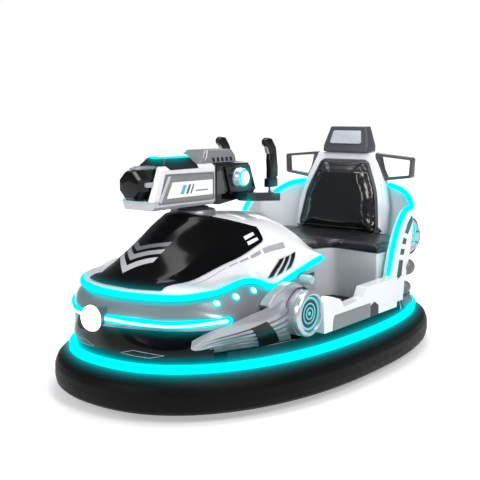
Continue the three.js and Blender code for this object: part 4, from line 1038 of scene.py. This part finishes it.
for k, u in enumerate((1.55, 2.0, 2.45)):
    q = [(u, 5.0), (u + 0.26, 5.0), (u + 0.80, 5.95), (u + 0.54, 5.95)]
    o = slab(f"canopy_chevron_{k + 1}_left", hood_s, q, (PALEGREY, DECALGREY, MIDGREY)[k], off=0.0058, back=0.003, bev=0.0003)
    mirrored(o)
loop = between([(7.00, 1.33), (7.90, 1.12), (9.62, 1.23), (8.84, 1.40), (7.90, 1.38), (7.00, 1.33)], 6)
o = tube("fascia_line_left", over(fascia_s, loop[:-1], 0.0006), 0.0010, DECALGREY, k=1, sides=8, closed=True)
mirrored(o)

# service hatch and cooling slats in the middle of the rear shell
slab("rear_hatch", rear_s, [(1.95, 4.15), (4.05, 4.15), (4.05, 5.85), (1.95, 5.85)], LIGHTSILVER, off=0.0022, back=-0.002, n=14)
for k in range(5):
    u = 2.25 + 0.31 * k
    slab(f"rear_slat_{k + 1}", rear_s, [(u, 4.40), (u + 0.15, 4.40), (u + 0.15, 5.60), (u, 5.60)], GREY, off=0.0048, back=0.0005, n=10)

# ------------------------------------------------------------------ cockpit floor, its ribs and the toe board
o = rings(
    "floor_mat",
    [[(x, y, z) for x, y in fillet([(-0.69, -0.40), (-0.30, -0.446), (0.292, -0.446), (0.292, 0.446), (-0.30, 0.446), (-0.69, 0.40)], 0.03)] for z in (0.2143, 0.2212)],
    SATIN,
    bev=0.001,
)
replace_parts(o, "floor_pan")
for k in range(15):
    x = -0.235 + 0.034 * k
    tube(f"floor_rib_{k + 1}", [(x, -0.40, 0.2213), (x, 0.40, 0.2213)], 0.0028, SATIN, k=1, sides=8, squash=(1.6, 1.0))
o = rings("toe_board", [[(0.292, y, 0.2215), (0.300, y, 0.2215), (0.378, y, 0.400), (0.371, y, 0.403)] for y in (-0.3, 0.3)], SATIN, bev=0.0015)
for k in range(6):
    t = 0.12 + 0.15 * k
    x, z = 0.291 + 0.079 * t, 0.222 + 0.181 * t
    tube(f"toe_rib_{k + 1}", [(x, -0.27, z), (x, 0.27, z)], 0.0035, SATIN, k=1, sides=8)

# ------------------------------------------------------------------ seat
def seat_plan(g, n=8):
    half = [
        (-0.262 - g, 0), (-0.268 - g, 0.070 - g / 2), (-0.300 - g, 0.112 - g / 2), (-0.390 - g, 0.140), (-0.372 - g, 0.260), (-0.350 - g, 0.400 - g),
        (-0.366 - g, 0.402 - g), (-0.590, 0.402 - g), (-0.690, 0.345 - g), (-0.724 + g, 0.240 - g / 2), (-0.724 + g, 0),
    ]
    pts = half + [(x, -y) for x, y in reversed(half[1:-1])]
    r = [0.02, 0.03, 0.03, 0.06, 0.2, 0.02, 0.02, 0.05, 0.05, 0.03, 0.02]
    rr = r + list(reversed(r[1:-1]))
    return fillet(pts, rr, n)


def base_plan(g):
    half = [
        (-0.262 - g, 0), (-0.268 - g, 0.070 - g / 2), (-0.300 - g, 0.112 - g / 2), (-0.390 - g, 0.140), (-0.372 - g, 0.260), (-0.350 - g, 0.400 - g),
        (-0.366 - g, 0.402 - g), (-0.535, 0.402 - g), (-0.600, 0.376 - g), (-0.675, 0.336 - g), (-0.724 + g, 0.240 - g / 2), (-0.724 + g, 0),
    ]
    pts = half + [(x, -y) for x, y in reversed(half[1:-1])]
    r = [0.02, 0.03, 0.03, 0.06, 0.2, 0.02, 0.02, 0.05, 0.05, 0.05, 0.03, 0.02]
    rr = r + list(reversed(r[1:-1]))
    return fillet(pts, rr, 6)


levels = [(0.2214, 0.010), (0.228, 0.008), (0.300, 0.0085), (0.425, 0.008), (0.4445, 0.0085)]
o = rings("seat_base_shell", [[(x, y, z) for x, y in base_plan(g)] for z, g in levels], WHITE, bev=0.002, smooth=40)
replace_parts(o, "seat_base", "battery_pack")


def lean(z):
    return -0.662 - 0.070 * (z - 0.482) / 0.388


def both(half):
    return [*half, *[(-y, z) for y, z in reversed(half)]]


def leaning(name, outline, fronts, mats, bev=0.003, seg=3, body="chassis", smooth=40, grow=None):
    """Rings of a leaning panel: fronts are (offset ahead of the lean line, growth of the outline)."""
    P = [np.asarray(p, float) for p in outline]
    mid = sum(P) / len(P)
    R = []
    for off, g in fronts:
        ring = []
        for i, p in enumerate(P):
            a, b = P[i - 1], P[(i + 1) % len(P)]
            t = b - a
            t = t / (np.linalg.norm(t) + 1e-9)
            nrm = np.array((t[1], -t[0]))
            if nrm @ (p - mid) < 0:
                nrm = -nrm
            q = p + nrm * g
            ring.append((lean(q[1]) + off, q[0], q[1]))
        R.append(ring)
    return rings(name, R, mats, body, bev=bev, seg=seg, smooth=smooth)


shell_out = fillet(both([(0.250, 0.483), (0.250, 0.610), (0.222, 0.729), (0.164, 0.868)]), [0.004, 0.12, 0.25, 0.018, 0.018, 0.25, 0.12, 0.004], 8)
o = leaning("backrest_shell_body", shell_out, [(-0.0595, -0.014), (-0.0575, -0.006), (-0.050, 0.0), (-0.016, 0.0), (-0.007, -0.003), (-0.002, -0.008), (0.0, -0.016)], WHITE, bev=0.0, smooth=50)
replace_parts(o, "backrest_shell")
pad_line = [(0.208, 0.486), (0.214, 0.520), (0.190, 0.680), (0.128, 0.815), (0.112, 0.824)]
pad_r = [0.006, 0.03, 0.3, 0.02, 0.01]
pad_out = fillet(both(pad_line), pad_r + pad_r[::-1], 8)


def grown(P, g):
    """The outline P moved out by g."""
    out = []
    for i, p in enumerate(P):
        t = P[(i + 1) % len(P)] - P[i - 1]
        t = t / (np.linalg.norm(t) + 1e-9)
        n = np.array((t[1], -t[0]))
        if n @ (p - np.array((0, 0.66))) < 0:
            n = -n
        out.append(p + g * n)
    return out


R = []
for off, g in ((0.0, 0.010), (0.010, 0.009), (0.0125, 0.006), (0.0125, 0.001), (0.010, -0.001), (0.0, -0.002)):
    R.append([(lean(z) + off, y, z) for y, z in grown(pad_out, g)])
o = rings("backrest_bezel", R, GREY, closed=True, smooth=50)


# ------------------------------------------------------------------ cushions: a slack form blown up as cloth, then seamed
def inflate(o, voxel=0.006, pressure=4.0, frames=20, cap=0.02, pin=None, shrink=0.0):
    me = o.data
    bpy.context.view_layer.update()
    rm = o.modifiers.new("remesh", "REMESH")
    rm.mode = "VOXEL"
    rm.voxel_size = voxel
    dg = bpy.context.evaluated_depsgraph_get()
    nm = bpy.data.meshes.new_from_object(o.evaluated_get(dg), depsgraph=dg)
    o.modifiers.remove(rm)
    t = bpy.data.objects.new(o.name + "_cloth", nm)
    scene.collection.objects.link(t)
    start = np.array([v.co for v in nm.vertices], float)
    if pin is not None:
        g = t.vertex_groups.new(name="held")
        for i, p in enumerate(start):
            w = pin(p)
            if w > 0:
                g.add([i], w, "REPLACE")
    c = t.modifiers.new("cloth", "CLOTH")
    c.settings.use_pressure = True
    c.settings.uniform_pressure_force = pressure
    c.settings.effector_weights.gravity = 0
    c.settings.quality = 5
    c.settings.mass = 0.3
    c.settings.tension_stiffness = 15
    c.settings.compression_stiffness = 15
    c.settings.shear_stiffness = 5
    c.settings.bending_stiffness = 0.5
    if pin is not None:
        c.settings.vertex_group_mass = "held"
    c.point_cache.frame_start, c.point_cache.frame_end = 1, frames
    for f in range(1, frames + 1):
        scene.frame_set(f)
    dg = bpy.context.evaluated_depsgraph_get()
    ev = t.evaluated_get(dg).data
    end = np.array([v.co for v in ev.vertices], float)
    d = end - start
    L = np.linalg.norm(d, axis=1, keepdims=True)
    end = start + d * np.minimum(1.0, cap / np.maximum(L, 1e-9))
    t.modifiers.clear()
    for v, p in zip(nm.vertices, end):
        v.co = p
    scene.frame_set(1)
    bpy.data.objects.remove(t)
    mats = [m for m in me.materials]
    nm.materials.clear()
    for m in mats:
        nm.materials.append(m)
    o.data = nm
    nm.shade_smooth()
    return o


def relax(o, rounds=3, keep=None):
    """Evens out a remeshed skin."""
    bm = bmesh.new()
    bm.from_mesh(o.data)
    for _ in range(rounds):
        vs = [v for v in bm.verts if keep is None or not keep(v.co)]
        bmesh.ops.smooth_vert(bm, verts=vs, factor=0.5, use_axis_x=True, use_axis_y=True, use_axis_z=True)
    bm.to_mesh(o.data)
    bm.free()


def fine(o, levels=1):
    m = o.modifiers.new("fine", "SUBSURF")
    m.levels = m.render_levels = levels
    dg = bpy.context.evaluated_depsgraph_get()
    nm = bpy.data.meshes.new_from_object(o.evaluated_get(dg), depsgraph=dg)
    o.modifiers.remove(m)
    o.data = nm
    return o


def dist_line(p, A):
    """Distance from the point p to the open line A, both in a plane."""
    best = 1e9
    for a, b in zip(A[:-1], A[1:]):
        ab = b - a
        t = max(0.0, min(1.0, float((p - a) @ ab) / (float(ab @ ab) + 1e-12)))
        best = min(best, float(np.hypot(*(a + t * ab - p))))
    return best


# seat: starts a little smaller than its space, crowned, then blown up
def inside(P, x, y):
    c = False
    j = len(P) - 1
    for i in range(len(P)):
        if (P[i][1] > y) != (P[j][1] > y) and x < (P[j][0] - P[i][0]) * (y - P[i][1]) / (P[j][1] - P[i][1]) + P[i][0]:
            c = not c
        j = i
    return c


z0, z1 = 0.4458, 0.482
lv = [(z0, 0.006), (z0 + 0.003, 0.0035), (z0 + 0.010, 0.002), (z1 - 0.014, 0.002), (z1 - 0.008, 0.0045), (z1 - 0.005, 0.009)]
seat = rings("seat_cushion_pad", [[(x, y, z) for x, y in seat_plan(g, 6)] for z, g in lv], LEATHER, smooth=60)
inflate(seat, 0.006, 3.0, 20, 0.008, pin=lambda p: 1.0 if p[2] < z0 + 0.003 else 0.0)
relax(seat, 2)
fine(seat, 1)
outline_seat = np.array(seat_plan(0.0, 6))
seam = np.array(seat_plan(0.022, 6))
seam = np.vstack([seam, seam[:1]])
v = np.array([p.co for p in seat.data.vertices])
cross = np.array([(-0.66, y) for y in np.linspace(-0.32, 0.32, 3)])
mid_l = np.array([(x, 0.195 - 0.02 * (x + 0.5)) for x in np.linspace(-0.38, -0.66, 6)])
mid_r = mid_l * (1, -1)
for i, p in enumerate(v):
    if p[2] > z1 - 0.02:
        q = p[:2]
        d = min(dist_line(q, seam), dist_line(q, mid_l), dist_line(q, mid_r))
        p[2] -= 0.0042 * math.exp(-((d / 0.0045) ** 2))
        # crown between the seams
        if inside(outline_seat, q[0], q[1]):
            p[2] += 0.0022 * min(1.0, d / 0.05)
    p[2] = max(p[2], z0 - 0.0002)
seat.data.vertices.foreach_set("co", v.ravel())
seat.data.update()
seat.data.shade_smooth()
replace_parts(seat, "seat_cushion")

lv = [(0.0008, -0.004), (0.004, -0.0025), (0.016, -0.0025), (0.023, -0.006), (0.027, -0.014)]
R = []
for off, g in lv:
    R.append([(lean(z) + off, y, z) for y, z in grown(pad_out, g)])
pad = rings("backrest_pad_cushion", R, LEATHER, smooth=60)
inflate(pad, 0.006, 3.0, 20, 0.012, pin=lambda p: 1.0 if p[0] - lean(p[2]) < 0.004 else 0.0)
relax(pad, 2)
fine(pad, 1)
v = np.array([p.co for p in pad.data.vertices])
band_y = 0.776
in_line = np.array([p for p in grown(pad_out, -0.024)])
in_line = np.vstack([in_line, in_line[:1]])
top_line = np.array([(-0.16, band_y), (0.16, band_y)])
for i, p in enumerate(v):
    if p[0] - lean(p[2]) > 0.014:
        q = p[1:]
        d = min(dist_line(q, in_line), dist_line(q, top_line))
        p[0] -= 0.0045 * math.exp(-((d / 0.0045) ** 2))
pad.data.vertices.foreach_set("co", v.ravel())
pad.data.update()
pad.data.shade_smooth()
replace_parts(pad, "backrest_pad")
# glossy middle of the back pad and its matte headband are two leathers
pad.data.materials.append(PADGLOSS)
for f in pad.data.polygons:
    c = f.center
    if c[2] < band_y:
        f.material_index = 1

# ------------------------------------------------------------------ wings and headrest
wo = fillet([(0.170, 0.738), (0.222, 0.736), (0.358, 0.755), (0.361, 0.849), (0.165, 0.867)], [0.003, 0.003, 0.012, 0.012, 0.004], 5)
wi = fillet([(0.203, 0.790), (0.222, 0.752), (0.345, 0.766), (0.350, 0.838), (0.186, 0.852)], [0.003, 0.006, 0.007, 0.007, 0.006], 5)


def at_lean(P, off):
    return [(off, p[0], p[1]) for p in P]


R = [at_lean(wo, -0.768), at_lean(wo, -0.730), at_lean(wi, -0.7285), at_lean(wi, -0.7695)]
o = rings("wing_left_frame", R, GREY, closed=True, bev=0.004, seg=3)
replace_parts(o, "wing_left")
mirrored(o, replaces=["wing_right"])


def quad_ring(z, xf, yf, xb, yb, r):
    return [(x, y, z) for x, y in fillet([(xf, -yf), (xf, yf), (xb, yb), (xb, -yb)], r, 5)]


o = rings(
    "headrest_block",
    [quad_ring(0.8686, -0.716, 0.128, -0.820, 0.118, 0.012), quad_ring(0.900, -0.722, 0.128, -0.824, 0.116, 0.012), quad_ring(0.950, -0.7365, 0.1155, -0.8175, 0.1035, 0.012), quad_ring(0.993, -0.749, 0.104, -0.812, 0.092, 0.012)],
    GREY,
    bev=0.005,
    seg=3,
    smooth=40,
)
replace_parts(o, "headrest")
hp = fillet([(-0.089, 0.910), (0.089, 0.910), (0.077, 0.973), (-0.077, 0.973)], 0.010, 5)


def head_face(z):
    return -0.722 - 0.027 * (z - 0.900) / 0.093


R = [[(head_face(z) + off, y * (1 - k), 0.942 + (z - 0.942) * (1 - k)) for y, z in hp] for off, k in ((-0.004, 0.0), (0.0045, 0.0), (0.006, 0.02))]
rings("headrest_panel", R, PALE, bev=0.0008, smooth=40)

# ------------------------------------------------------------------ the cannon
G = "cannon"
ped = [(0.070, 0.600), (0.0965, 0.612), (0.0935, 0.655), (0.0895, 0.679), (0.0865, 0.6855), (0.0835, 0.6878), (0, 0.688)]
o = lathe("pedestal_drum", ped, "Z", (0.42, 0, 0), SILVER, seg=80, bev=0.0, smooth=28)
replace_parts(o, "pedestal")
tb = [(0, 0.6882), (0.0605, 0.6882), (0.062, 0.6895), (0.062, 0.6955), (0.0605, 0.697), (0.055, 0.6972), (0.0545, 0.6958), (0.0475, 0.6958), (0.047, 0.6972), (0.044, 0.6975), (0.0438, 0.7068), (0, 0.7069)]
o = lathe("turret_turntable", tb, "Z", (0.42, 0, 0), STEEL, body=G, seg=80, smooth=28)
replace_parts(o, "turret_base")


def prism(name, side, sections, mats, bev=0.003, seg=3, r=0.0, body=G, smooth=38):
    """A side outline (x, z) carried across the widths in sections: (y, shrink towards its middle)."""
    P = fillet(side, r, 4) if r else [np.asarray(p, float) for p in side]
    mid = sum(P) / len(P)
    R = []
    for y, k in sections:
        R.append([(mid[0] + (p[0] - mid[0]) * (1 - k), y, mid[1] + (p[1] - mid[1]) * (1 - k)) for p in P])
    return rings(name, R, mats, body, bev=bev, seg=seg, smooth=smooth)


# front housing: a raked box whose long edges are chamfered, open at the front round the muzzle
def station(x, w, z0, z1, c):
    return [(x, y, z) for y, z in [(-w, z0 + c), (-w + c, z0), (w - c, z0), (w, z0 + c), (w, z1 - c), (w - c, z1), (-w + c, z1), (-w, z1 - c)]]


def raked(name, xs, w, z0, z1, c, mats, slot, bev=0.0025):
    """A chamfered box between two end lines: xs gives x at the bottom and top of each end."""
    R = []
    for x0, x1 in xs:
        ring = []
        for x, y, z in station(0, w, z0, z1, c):
            t = (z - z0) / (z1 - z0)
            ring.append((x0 + (x1 - x0) * t, y, z))
        R.append(ring)
    return rings(name, R, mats, G, bev=bev, seg=3, smooth=30)


hs_front = [(0.379, 0.7072), (0.379, 0.866), (0.6825, 0.866), (0.7373, 0.7285), (0.7245, 0.7072)]
W = 0.080


def cheek(sign):
    """One wall of the front housing beside the muzzle, chamfered along its outer edges."""
    P = [(0.0572, 0.7395), (0.0572, 0.866), (W - 0.014, 0.866), (W, 0.852), (W, 0.7395)]
    R = []
    for end in (0, 1):
        ring = []
        for y, z in P:
            t = (z - 0.7285) / (0.866 - 0.7285)
            xf = 0.7373 + (0.6825 - 0.7373) * t - (0.010 if y > 0.079 else 0.004 if y > 0.065 else 0.0)
            ring.append((0.379 if end == 0 else xf, sign * y, z))
        R.append(ring)
    return rings("gun_housing_cheek_" + ("left" if sign > 0 else "right"), R, GUNWHITE, G, bev=0.003, seg=3, smooth=30)


o = cheek(1)
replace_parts(o, "gun_housing")
cheek(-1)
o = rings(
    "gun_housing_core",
    [[(x, -0.0573, z) for x, z in [(0.379, 0.739), (0.379, 0.866), (0.640, 0.866), (0.640, 0.739)]], [(x, 0.0573, z) for x, z in [(0.379, 0.739), (0.379, 0.866), (0.640, 0.866), (0.640, 0.739)]]],
    GUNWHITE,
    G,
    bev=0.001,
)
# the floor of the housing ends in a chin under the muzzle
R = []
for x0, x1 in ((0.379, 0.379), (0.7245, 0.7373)):
    ring = []
    for y, z in [(-0.068, 0.7072), (0.068, 0.7072), (W, 0.720), (W, 0.7394), (-W, 0.7394), (-W, 0.720)]:
        t = (z - 0.7072) / (0.7394 - 0.7072)
        back = 0.012 if (abs(y) > 0.07 and x0 > 0.5) else 0.0
        ring.append((x0 + (x1 - x0) * min(1, t * 1.5) - back, y, z))
    R.append(ring)
o = rings("gun_housing_floor", R, SILVERLIGHT, G, bev=0.0025, smooth=30)
o = rings("gun_chin", [[(x, y, z) for x, y in fillet([(0.640, -0.0565), (0.640, 0.0565), (0.7385, 0.0565), (0.7425, 0.0450), (0.7425, -0.0600), (0.7385, -0.0700), (0.700, -0.0700), (0.698, -0.0565)], 0.002, 2)] for z in (0.7396, 0.7435)], TEAL, body=G, bev=0.0012)
# sunk panel on each side with its blank plate and slanted trim
o = hoop("gun_side_frame_left", fillet([(0.388, 0.727), (0.388, 0.834), (0.661, 0.838), (0.699, 0.729)], 0.005, 5), fillet([(0.393, 0.733), (0.393, 0.828), (0.655, 0.832), (0.688, 0.735)], 0.004, 5), "XZ", 0.076, 0.0835, MIDGREY, body=G, bev=0.0016)
mirrored(o)
o = plate("gun_side_floor_left", [(0.390, 0.730), (0.390, 0.831), (0.658, 0.835), (0.693, 0.732)], "XZ", 0.076, 0.0812, MIDGREY3, body=G, bev=0.001)
mirrored(o)
o = plate("gun_side_plate_left", fillet([(0.397, 0.748), (0.397, 0.805), (0.625, 0.807), (0.657, 0.749)], 0.003), "XZ", 0.078, 0.0826, PLATEWHITE, body=G, bev=0.0006, seg=2)
mirrored(o)
for k, (x0, dx, m) in enumerate([(0.585, 0.020, CYANPAINT), (0.553, 0.012, GREY), (0.530, 0.008, GREY)]):
    o = plate(f"gun_plate_bar_{k + 1}_left", [(x0, 0.760), (x0 - dx, 0.760), (x0 - dx - 0.018, 0.794), (x0 - 0.018, 0.794)], "XZ", 0.080, 0.0831, m, body=G, bev=0.0002, seg=1)
    mirrored(o)
o = plate("gun_plate_line_left", [(0.500, 0.7665), (0.428, 0.7665), (0.425, 0.7705), (0.498, 0.7705)], "XZ", 0.080, 0.0831, GREY, body=G, bev=0.0002, seg=1)
mirrored(o)
o = plate("gun_side_trim_left", fillet([(0.637, 0.829), (0.650, 0.832), (0.701, 0.738), (0.690, 0.734)], 0.002), "XZ", 0.078, 0.0858, PALEGREY, body=G, bev=0.001, seg=2)
mirrored(o)


def octa(r, x, z=0.801, cx=0.0):
    return [(x, cx + r * math.cos(math.pi * (i + 0.5) / 4), z + r * math.sin(math.pi * (i + 0.5) / 4)) for i in range(8)]


o = rings("gun_muzzle_body", [octa(0.0565, 0.6406), octa(0.0565, 0.700), octa(0.052, 0.702), octa(0.052, 0.709), octa(0.057, 0.711), octa(0.057, 0.752), octa(0.0505, 0.769), octa(0.044, 0.7705), octa(0.010, 0.7705)], BLACK, body=G, bev=0.0016, seg=2, smooth=25)
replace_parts(o, "gun_muzzle")
o = plate("gun_muzzle_rail_top", [(0.6405, 0.8545), (0.6405, 0.8655), (0.742, 0.8635), (0.748, 0.859), (0.748, 0.8555)], "XZ", -0.020, 0.020, LIGHTSILVER, body=G, bev=0.002)
o = plate("gun_muzzle_rail_left", [(0.6405, 0.7935), (0.6405, 0.8115), (0.738, 0.8115), (0.744, 0.808), (0.744, 0.797), (0.738, 0.7935)], "XZ", 0.0500, 0.0625, LIGHTSILVER, body=G, bev=0.002)
mirrored(o)


def loft4(name, base, top, z0, z1, mats, bev=0.003, body=G, seg=3, r=0.004, mid=None):
    """A box lofted between two outlines in plan, given as (x0, x1, half width)."""
    levels = [(z0, base)] + ([mid] if mid else []) + [(z1, top)]
    R = []
    for z, (xa, xb, w) in levels:
        R.append([(x, y, z) for x, y in fillet([(xa, -w), (xa, w), (xb, w), (xb, -w)], r, 4)])
    return rings(name, R, mats, body, bev=bev, seg=seg)


o = loft4("gun_light_box_case", (0.468, 0.652, 0.0625), (0.488, 0.628, 0.044), 0.8663, 0.8935, BLACK, bev=0.0025)
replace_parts(o, "gun_light_box")
for sgn, tag in ((1, "left"), (-1, "right")):
    A = [(0.648, 0.0615, 0.8668), (0.632, 0.0798, 0.8530), (0.480, 0.0798, 0.8530), (0.470, 0.0615, 0.8668)]
    B = [(0.648, 0.0618, 0.8690), (0.634, 0.0818, 0.8530), (0.478, 0.0818, 0.8530), (0.469, 0.0618, 0.8690)]
    rings(f"gun_light_box_flank_{tag}", [[(x, sgn * y, z) for x, y, z in A], [(x, sgn * y, z) for x, y, z in B]], BLACK, G, bev=0.0006, seg=2)
tube("gun_light_bar", [(0.482, 0, 0.8985), (0.555, 0, 0.8988), (0.634, 0, 0.8985)], 0.0055, CORE, body=G, k=6, sides=16, up=(0, 0, 1), squash=(4.6, 1.0))
tube("gun_light_bar_rim", [(0.480, 0, 0.8962), (0.555, 0, 0.8962), (0.637, 0, 0.8962)], 0.0055, CYAN, body=G, k=6, sides=16, up=(0, 0, 1), squash=(5.6, 0.9))
o = loft4("gun_top_cover_shell", (0.224, 0.4555, 0.0622), (0.237, 0.399, 0.0460), 0.8662, 0.9155, MIDGREY2, bev=0.0022, mid=(0.8905, (0.2300, 0.4270, 0.0616)))
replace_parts(o, "gun_top_cover")
for sgn, tag in ((1, "left"), (-1, "right")):
    tube(f"gun_cover_line_{tag}", [(0.388, sgn * 0.0470, 0.9155), (0.408, sgn * 0.0618, 0.8905), (0.420, sgn * 0.0625, 0.8800)], 0.0014, PLATEWHITE, body=G, k=1, sides=8, up=(0, 1, 0))
    for k in range(5):
        x = 0.372 - 0.027 * k
        q = [(x, sgn * 0.0621, 0.8705), (x - 0.014, sgn * 0.0621, 0.8705), (x - 0.010, sgn * 0.0617, 0.8865), (x + 0.004, sgn * 0.0617, 0.8865)]
        rings(f"gun_cover_bar_{k + 1}_{tag}", [q, [(a, b + sgn * 0.0009, c) for a, b, c in q]], SATIN, G)
# rear housing with a raised block on each side
rs = [(0.1305, 0.7235), (0.345, 0.7015), (0.362, 0.7035), (0.3782, 0.7092), (0.3782, 0.8657), (0.1575, 0.8628), (0.112, 0.747)]
o = prism("gun_rear_housing_body", rs, [(-0.080, 0.07), (-0.070, 0.0), (0.070, 0.0), (0.080, 0.07)], BLACK, bev=0.003, r=0.004)
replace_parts(o, "gun_rear_housing")
o = hoop("gun_rear_collar", [(0.3765, 0.715), (0.3765, 0.860), (0.3815, 0.860), (0.3815, 0.715)], [(0.377, 0.7155), (0.377, 0.8595), (0.381, 0.8595), (0.381, 0.7155)], "XZ", -0.0805, 0.0805, MIDGREY, body=G, bev=0.0006)
o = plate("gun_rear_block_left", fillet([(0.326, 0.850), (0.168, 0.852), (0.125, 0.749), (0.290, 0.738)], 0.005), "XZ", 0.068, 0.0885, BLACK, body=G, bev=0.003)
mirrored(o)
o = plate("gun_rear_inset_left", fillet([(0.3700, 0.742), (0.3700, 0.832), (0.3420, 0.838), (0.3160, 0.745)], 0.004), "XZ", 0.070, 0.0822, GREY, body=G, bev=0.0015)
mirrored(o)
lamp = [(0, 0.072), (0.0415, 0.072), (0.0420, 0.090), (0.0412, 0.0945), (0.0400, 0.0955), (0.0400, 0.0970), (0.0392, 0.0985), (0.0372, 0.1120), (0.0345, 0.1175), (0.0325, 0.1185), (0.0310, 0.1172), (0.0300, 0.1190), (0.0270, 0.1215), (0.016, 0.1240), (0, 0.1248)]
o = lathe("gun_lamp_left", lamp, "Y", (0.242, 0, 0.803), [HUBCHROME, CYAN, CORE], body=G, seg=80, idx=[0] * 9 + [0, 1, 1, 2, 2], smooth=28)
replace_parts(o, "gun_lamp")
mirrored(o)
# handlebar
arm = [(0.262, 0.7125), (0.262, 0.7445), (0.170, 0.7388), (0.034, 0.7295), (0.034, 0.6965), (0.150, 0.7045)]
o = plate("handlebar_arm_left", fillet(arm, [0.004, 0.004, 0.02, 0.005, 0.005, 0.02]), "XZ", 0.0975, 0.147, SATIN, body=G, bev=0.0035)
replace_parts(o, "handlebar")
mirrored(o)
o = plate("handlebar_lug_left", fillet([(0.172, 0.7155), (0.172, 0.7365), (0.254, 0.7365), (0.254, 0.7155)], 0.003), "XZ", 0.0795, 0.0985, SATIN, body=G, bev=0.0015)
mirrored(o)
rings("handlebar_bar", [[(x, y, z) for x, z in fillet([(0.046, 0.7015), (0.104, 0.7015), (0.104, 0.7265), (0.046, 0.7265)], 0.005, 4)] for y in (-0.0985, 0.0985)], SATIN, body=G, bev=0.001)
grip = [(0.046, 0.790), (0.086, 0.790), (0.085, 0.830), (0.089, 0.869), (0.085, 0.889), (0.101, 0.921), (0.121, 0.934), (0.121, 0.950), (0.104, 0.959), (0.082, 0.957), (0.049, 0.919), (0.034, 0.835), (0.034, 0.800)]
side = fillet(grip, [0.004, 0.004, 0.03, 0.02, 0.012, 0.010, 0.006, 0.008, 0.006, 0.012, 0.03, 0.03, 0.01], 5)
mid = np.array((0.066, 0.866))
R = []
for y, k in ((0.1085, 0.16), (0.1100, 0.06), (0.1135, 0.0), (0.1305, 0.0), (0.1340, 0.06), (0.1355, 0.16)):
    R.append([(mid[0] + (p[0] - mid[0]) * (1 - k), y, mid[1] + (p[1] - mid[1]) * (1 - k * 0.3)) for p in side])
o = rings("grip_left_handle", R, SATIN, body=G, smooth=50)
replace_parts(o, "grip_left")
mirrored(o, replaces=["grip_right"])
rod = [(0, 0.7335), (0.0125, 0.7335), (0.0130, 0.7350), (0.0130, 0.7385), (0.0110, 0.7400), (0.0110, 0.7575), (0, 0.7575)]
o = lathe("grip_rod_left", rod, "Z", (0.068, 0.122, 0), CHROME, body=G, seg=36)
mirrored(o)
R = []
for z, g in ((0.7560, 0.0), (0.7915, 0.0015)):
    R.append([(x, y, z) for x, y in fillet([(0.036 + g, 0.1075), (0.099 - g, 0.1075), (0.099 - g, 0.1365), (0.036 + g, 0.1365)], 0.006, 4)])
o = rings("grip_collar_left", R, SATIN, body=G, bev=0.0022)
mirrored(o)
trig = fillet([(0.086, 0.890), (0.099, 0.896), (0.106, 0.916), (0.104, 0.928), (0.092, 0.927), (0.084, 0.912)], 0.004, 4)
o = plate("grip_trigger_left", trig, "XZ", 0.1145, 0.1295, LIGHTSILVER, body=G, bev=0.0025)
mirrored(o)

# ------------------------------------------------------------------ underside: chassis plate, motors, wheels, casters
for n in ("chassis_plate", "drive_motor_left", "drive_motor_right", "caster_fork_left", "caster_fork_right"):
    ob = frame["nodes"][n]
    ob.data.materials.clear()
    ob.data.materials.append(STEEL)
for s, tag in ((1, "left"), (-1, "right")):
    body = f"drive_wheel_{tag}"
    y = s * 0.352
    prof = [
        (0.0126, -0.017), (0.0126, 0.023), (0.022, 0.023), (0.0245, 0.021), (0.026, 0.0175), (0.030, 0.0165), (0.056, 0.0165), (0.0605, 0.018), (0.064, 0.0228), (0.072, 0.0222), (0.074, 0.0232), (0.086, 0.0230), (0.0915, 0.0195), (0.0938, 0.0145),
        (0.0945, 0.0125), (0.0925, 0.0120), (0.0925, 0.0105), (0.0948, 0.0100), (0.0950, 0.0042), (0.0928, 0.0038), (0.0928, 0.0022), (0.0950, 0.0018),
    ]
    prof = prof[1:]
    full = prof + [(r, -h) for r, h in reversed(prof)]
    ids = []
    for i in range(len(full) - 1):
        r = max(full[i][0], full[i + 1][0])
        ids.append(1 if r <= 0.0606 else 0)
    R = [(0.0126, full[0][1])] + full + [(0.0126, full[-1][1]), (0.0126, full[0][1])]
    full2 = [(r, h) for r, h in full] + [full[0]]
    ids.append(1)
    o = lathe(f"drive_wheel_{tag}_tyre", full2, "Y", (-0.300, y, 0.095), [TYRE, ZINC], body=body, seg=72, idx=ids, smooth=25)
    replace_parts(o, body)
    # six bolts on the hub
    for k in range(6):
        a = math.pi * k / 3
        q = [(0, 0.0155), (0.0042, 0.0155), (0.0042, 0.0185), (0.003, 0.0195), (0, 0.0195)]
        lathe(f"drive_bolt_{tag}_{k + 1}", [(r, s * h) for r, h in q], "Y", (-0.300 + 0.043 * math.cos(a), y, 0.095 + 0.043 * math.sin(a)), ZINC, body=body, seg=6, smooth=0)
    body = f"caster_wheel_{tag}"
    prof = [(0.0075, 0.0148), (0.016, 0.0148), (0.018, 0.0125), (0.031, 0.0120), (0.034, 0.0146), (0.044, 0.0148), (0.0482, 0.0125), (0.0498, 0.0085), (0.0500, 0.003)]
    full = prof + [(r, -h) for r, h in reversed(prof)]
    ids = [1 if max(full[i][0], full[i + 1][0]) < 0.033 else 0 for i in range(len(full) - 1)] + [1]
    o = lathe(f"caster_wheel_{tag}_tyre", full + [full[0]], "Y", (0.468, s * 0.25, 0.050), [TYRE, MIDGREY], body=body, seg=56, idx=ids, smooth=25)
    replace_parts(o, body)

# ------------------------------------------------------------------ floor
fl = bpy.data.meshes.new("floor")
fl.from_pydata([(-14, -14, 0), (14, -14, 0), (14, 14, 0), (-14, 14, 0)], [], [(0, 1, 2, 3)])
fl.materials.append(floor_m)
floor = bpy.data.objects.new("floor", fl)
scene.collection.objects.link(floor)
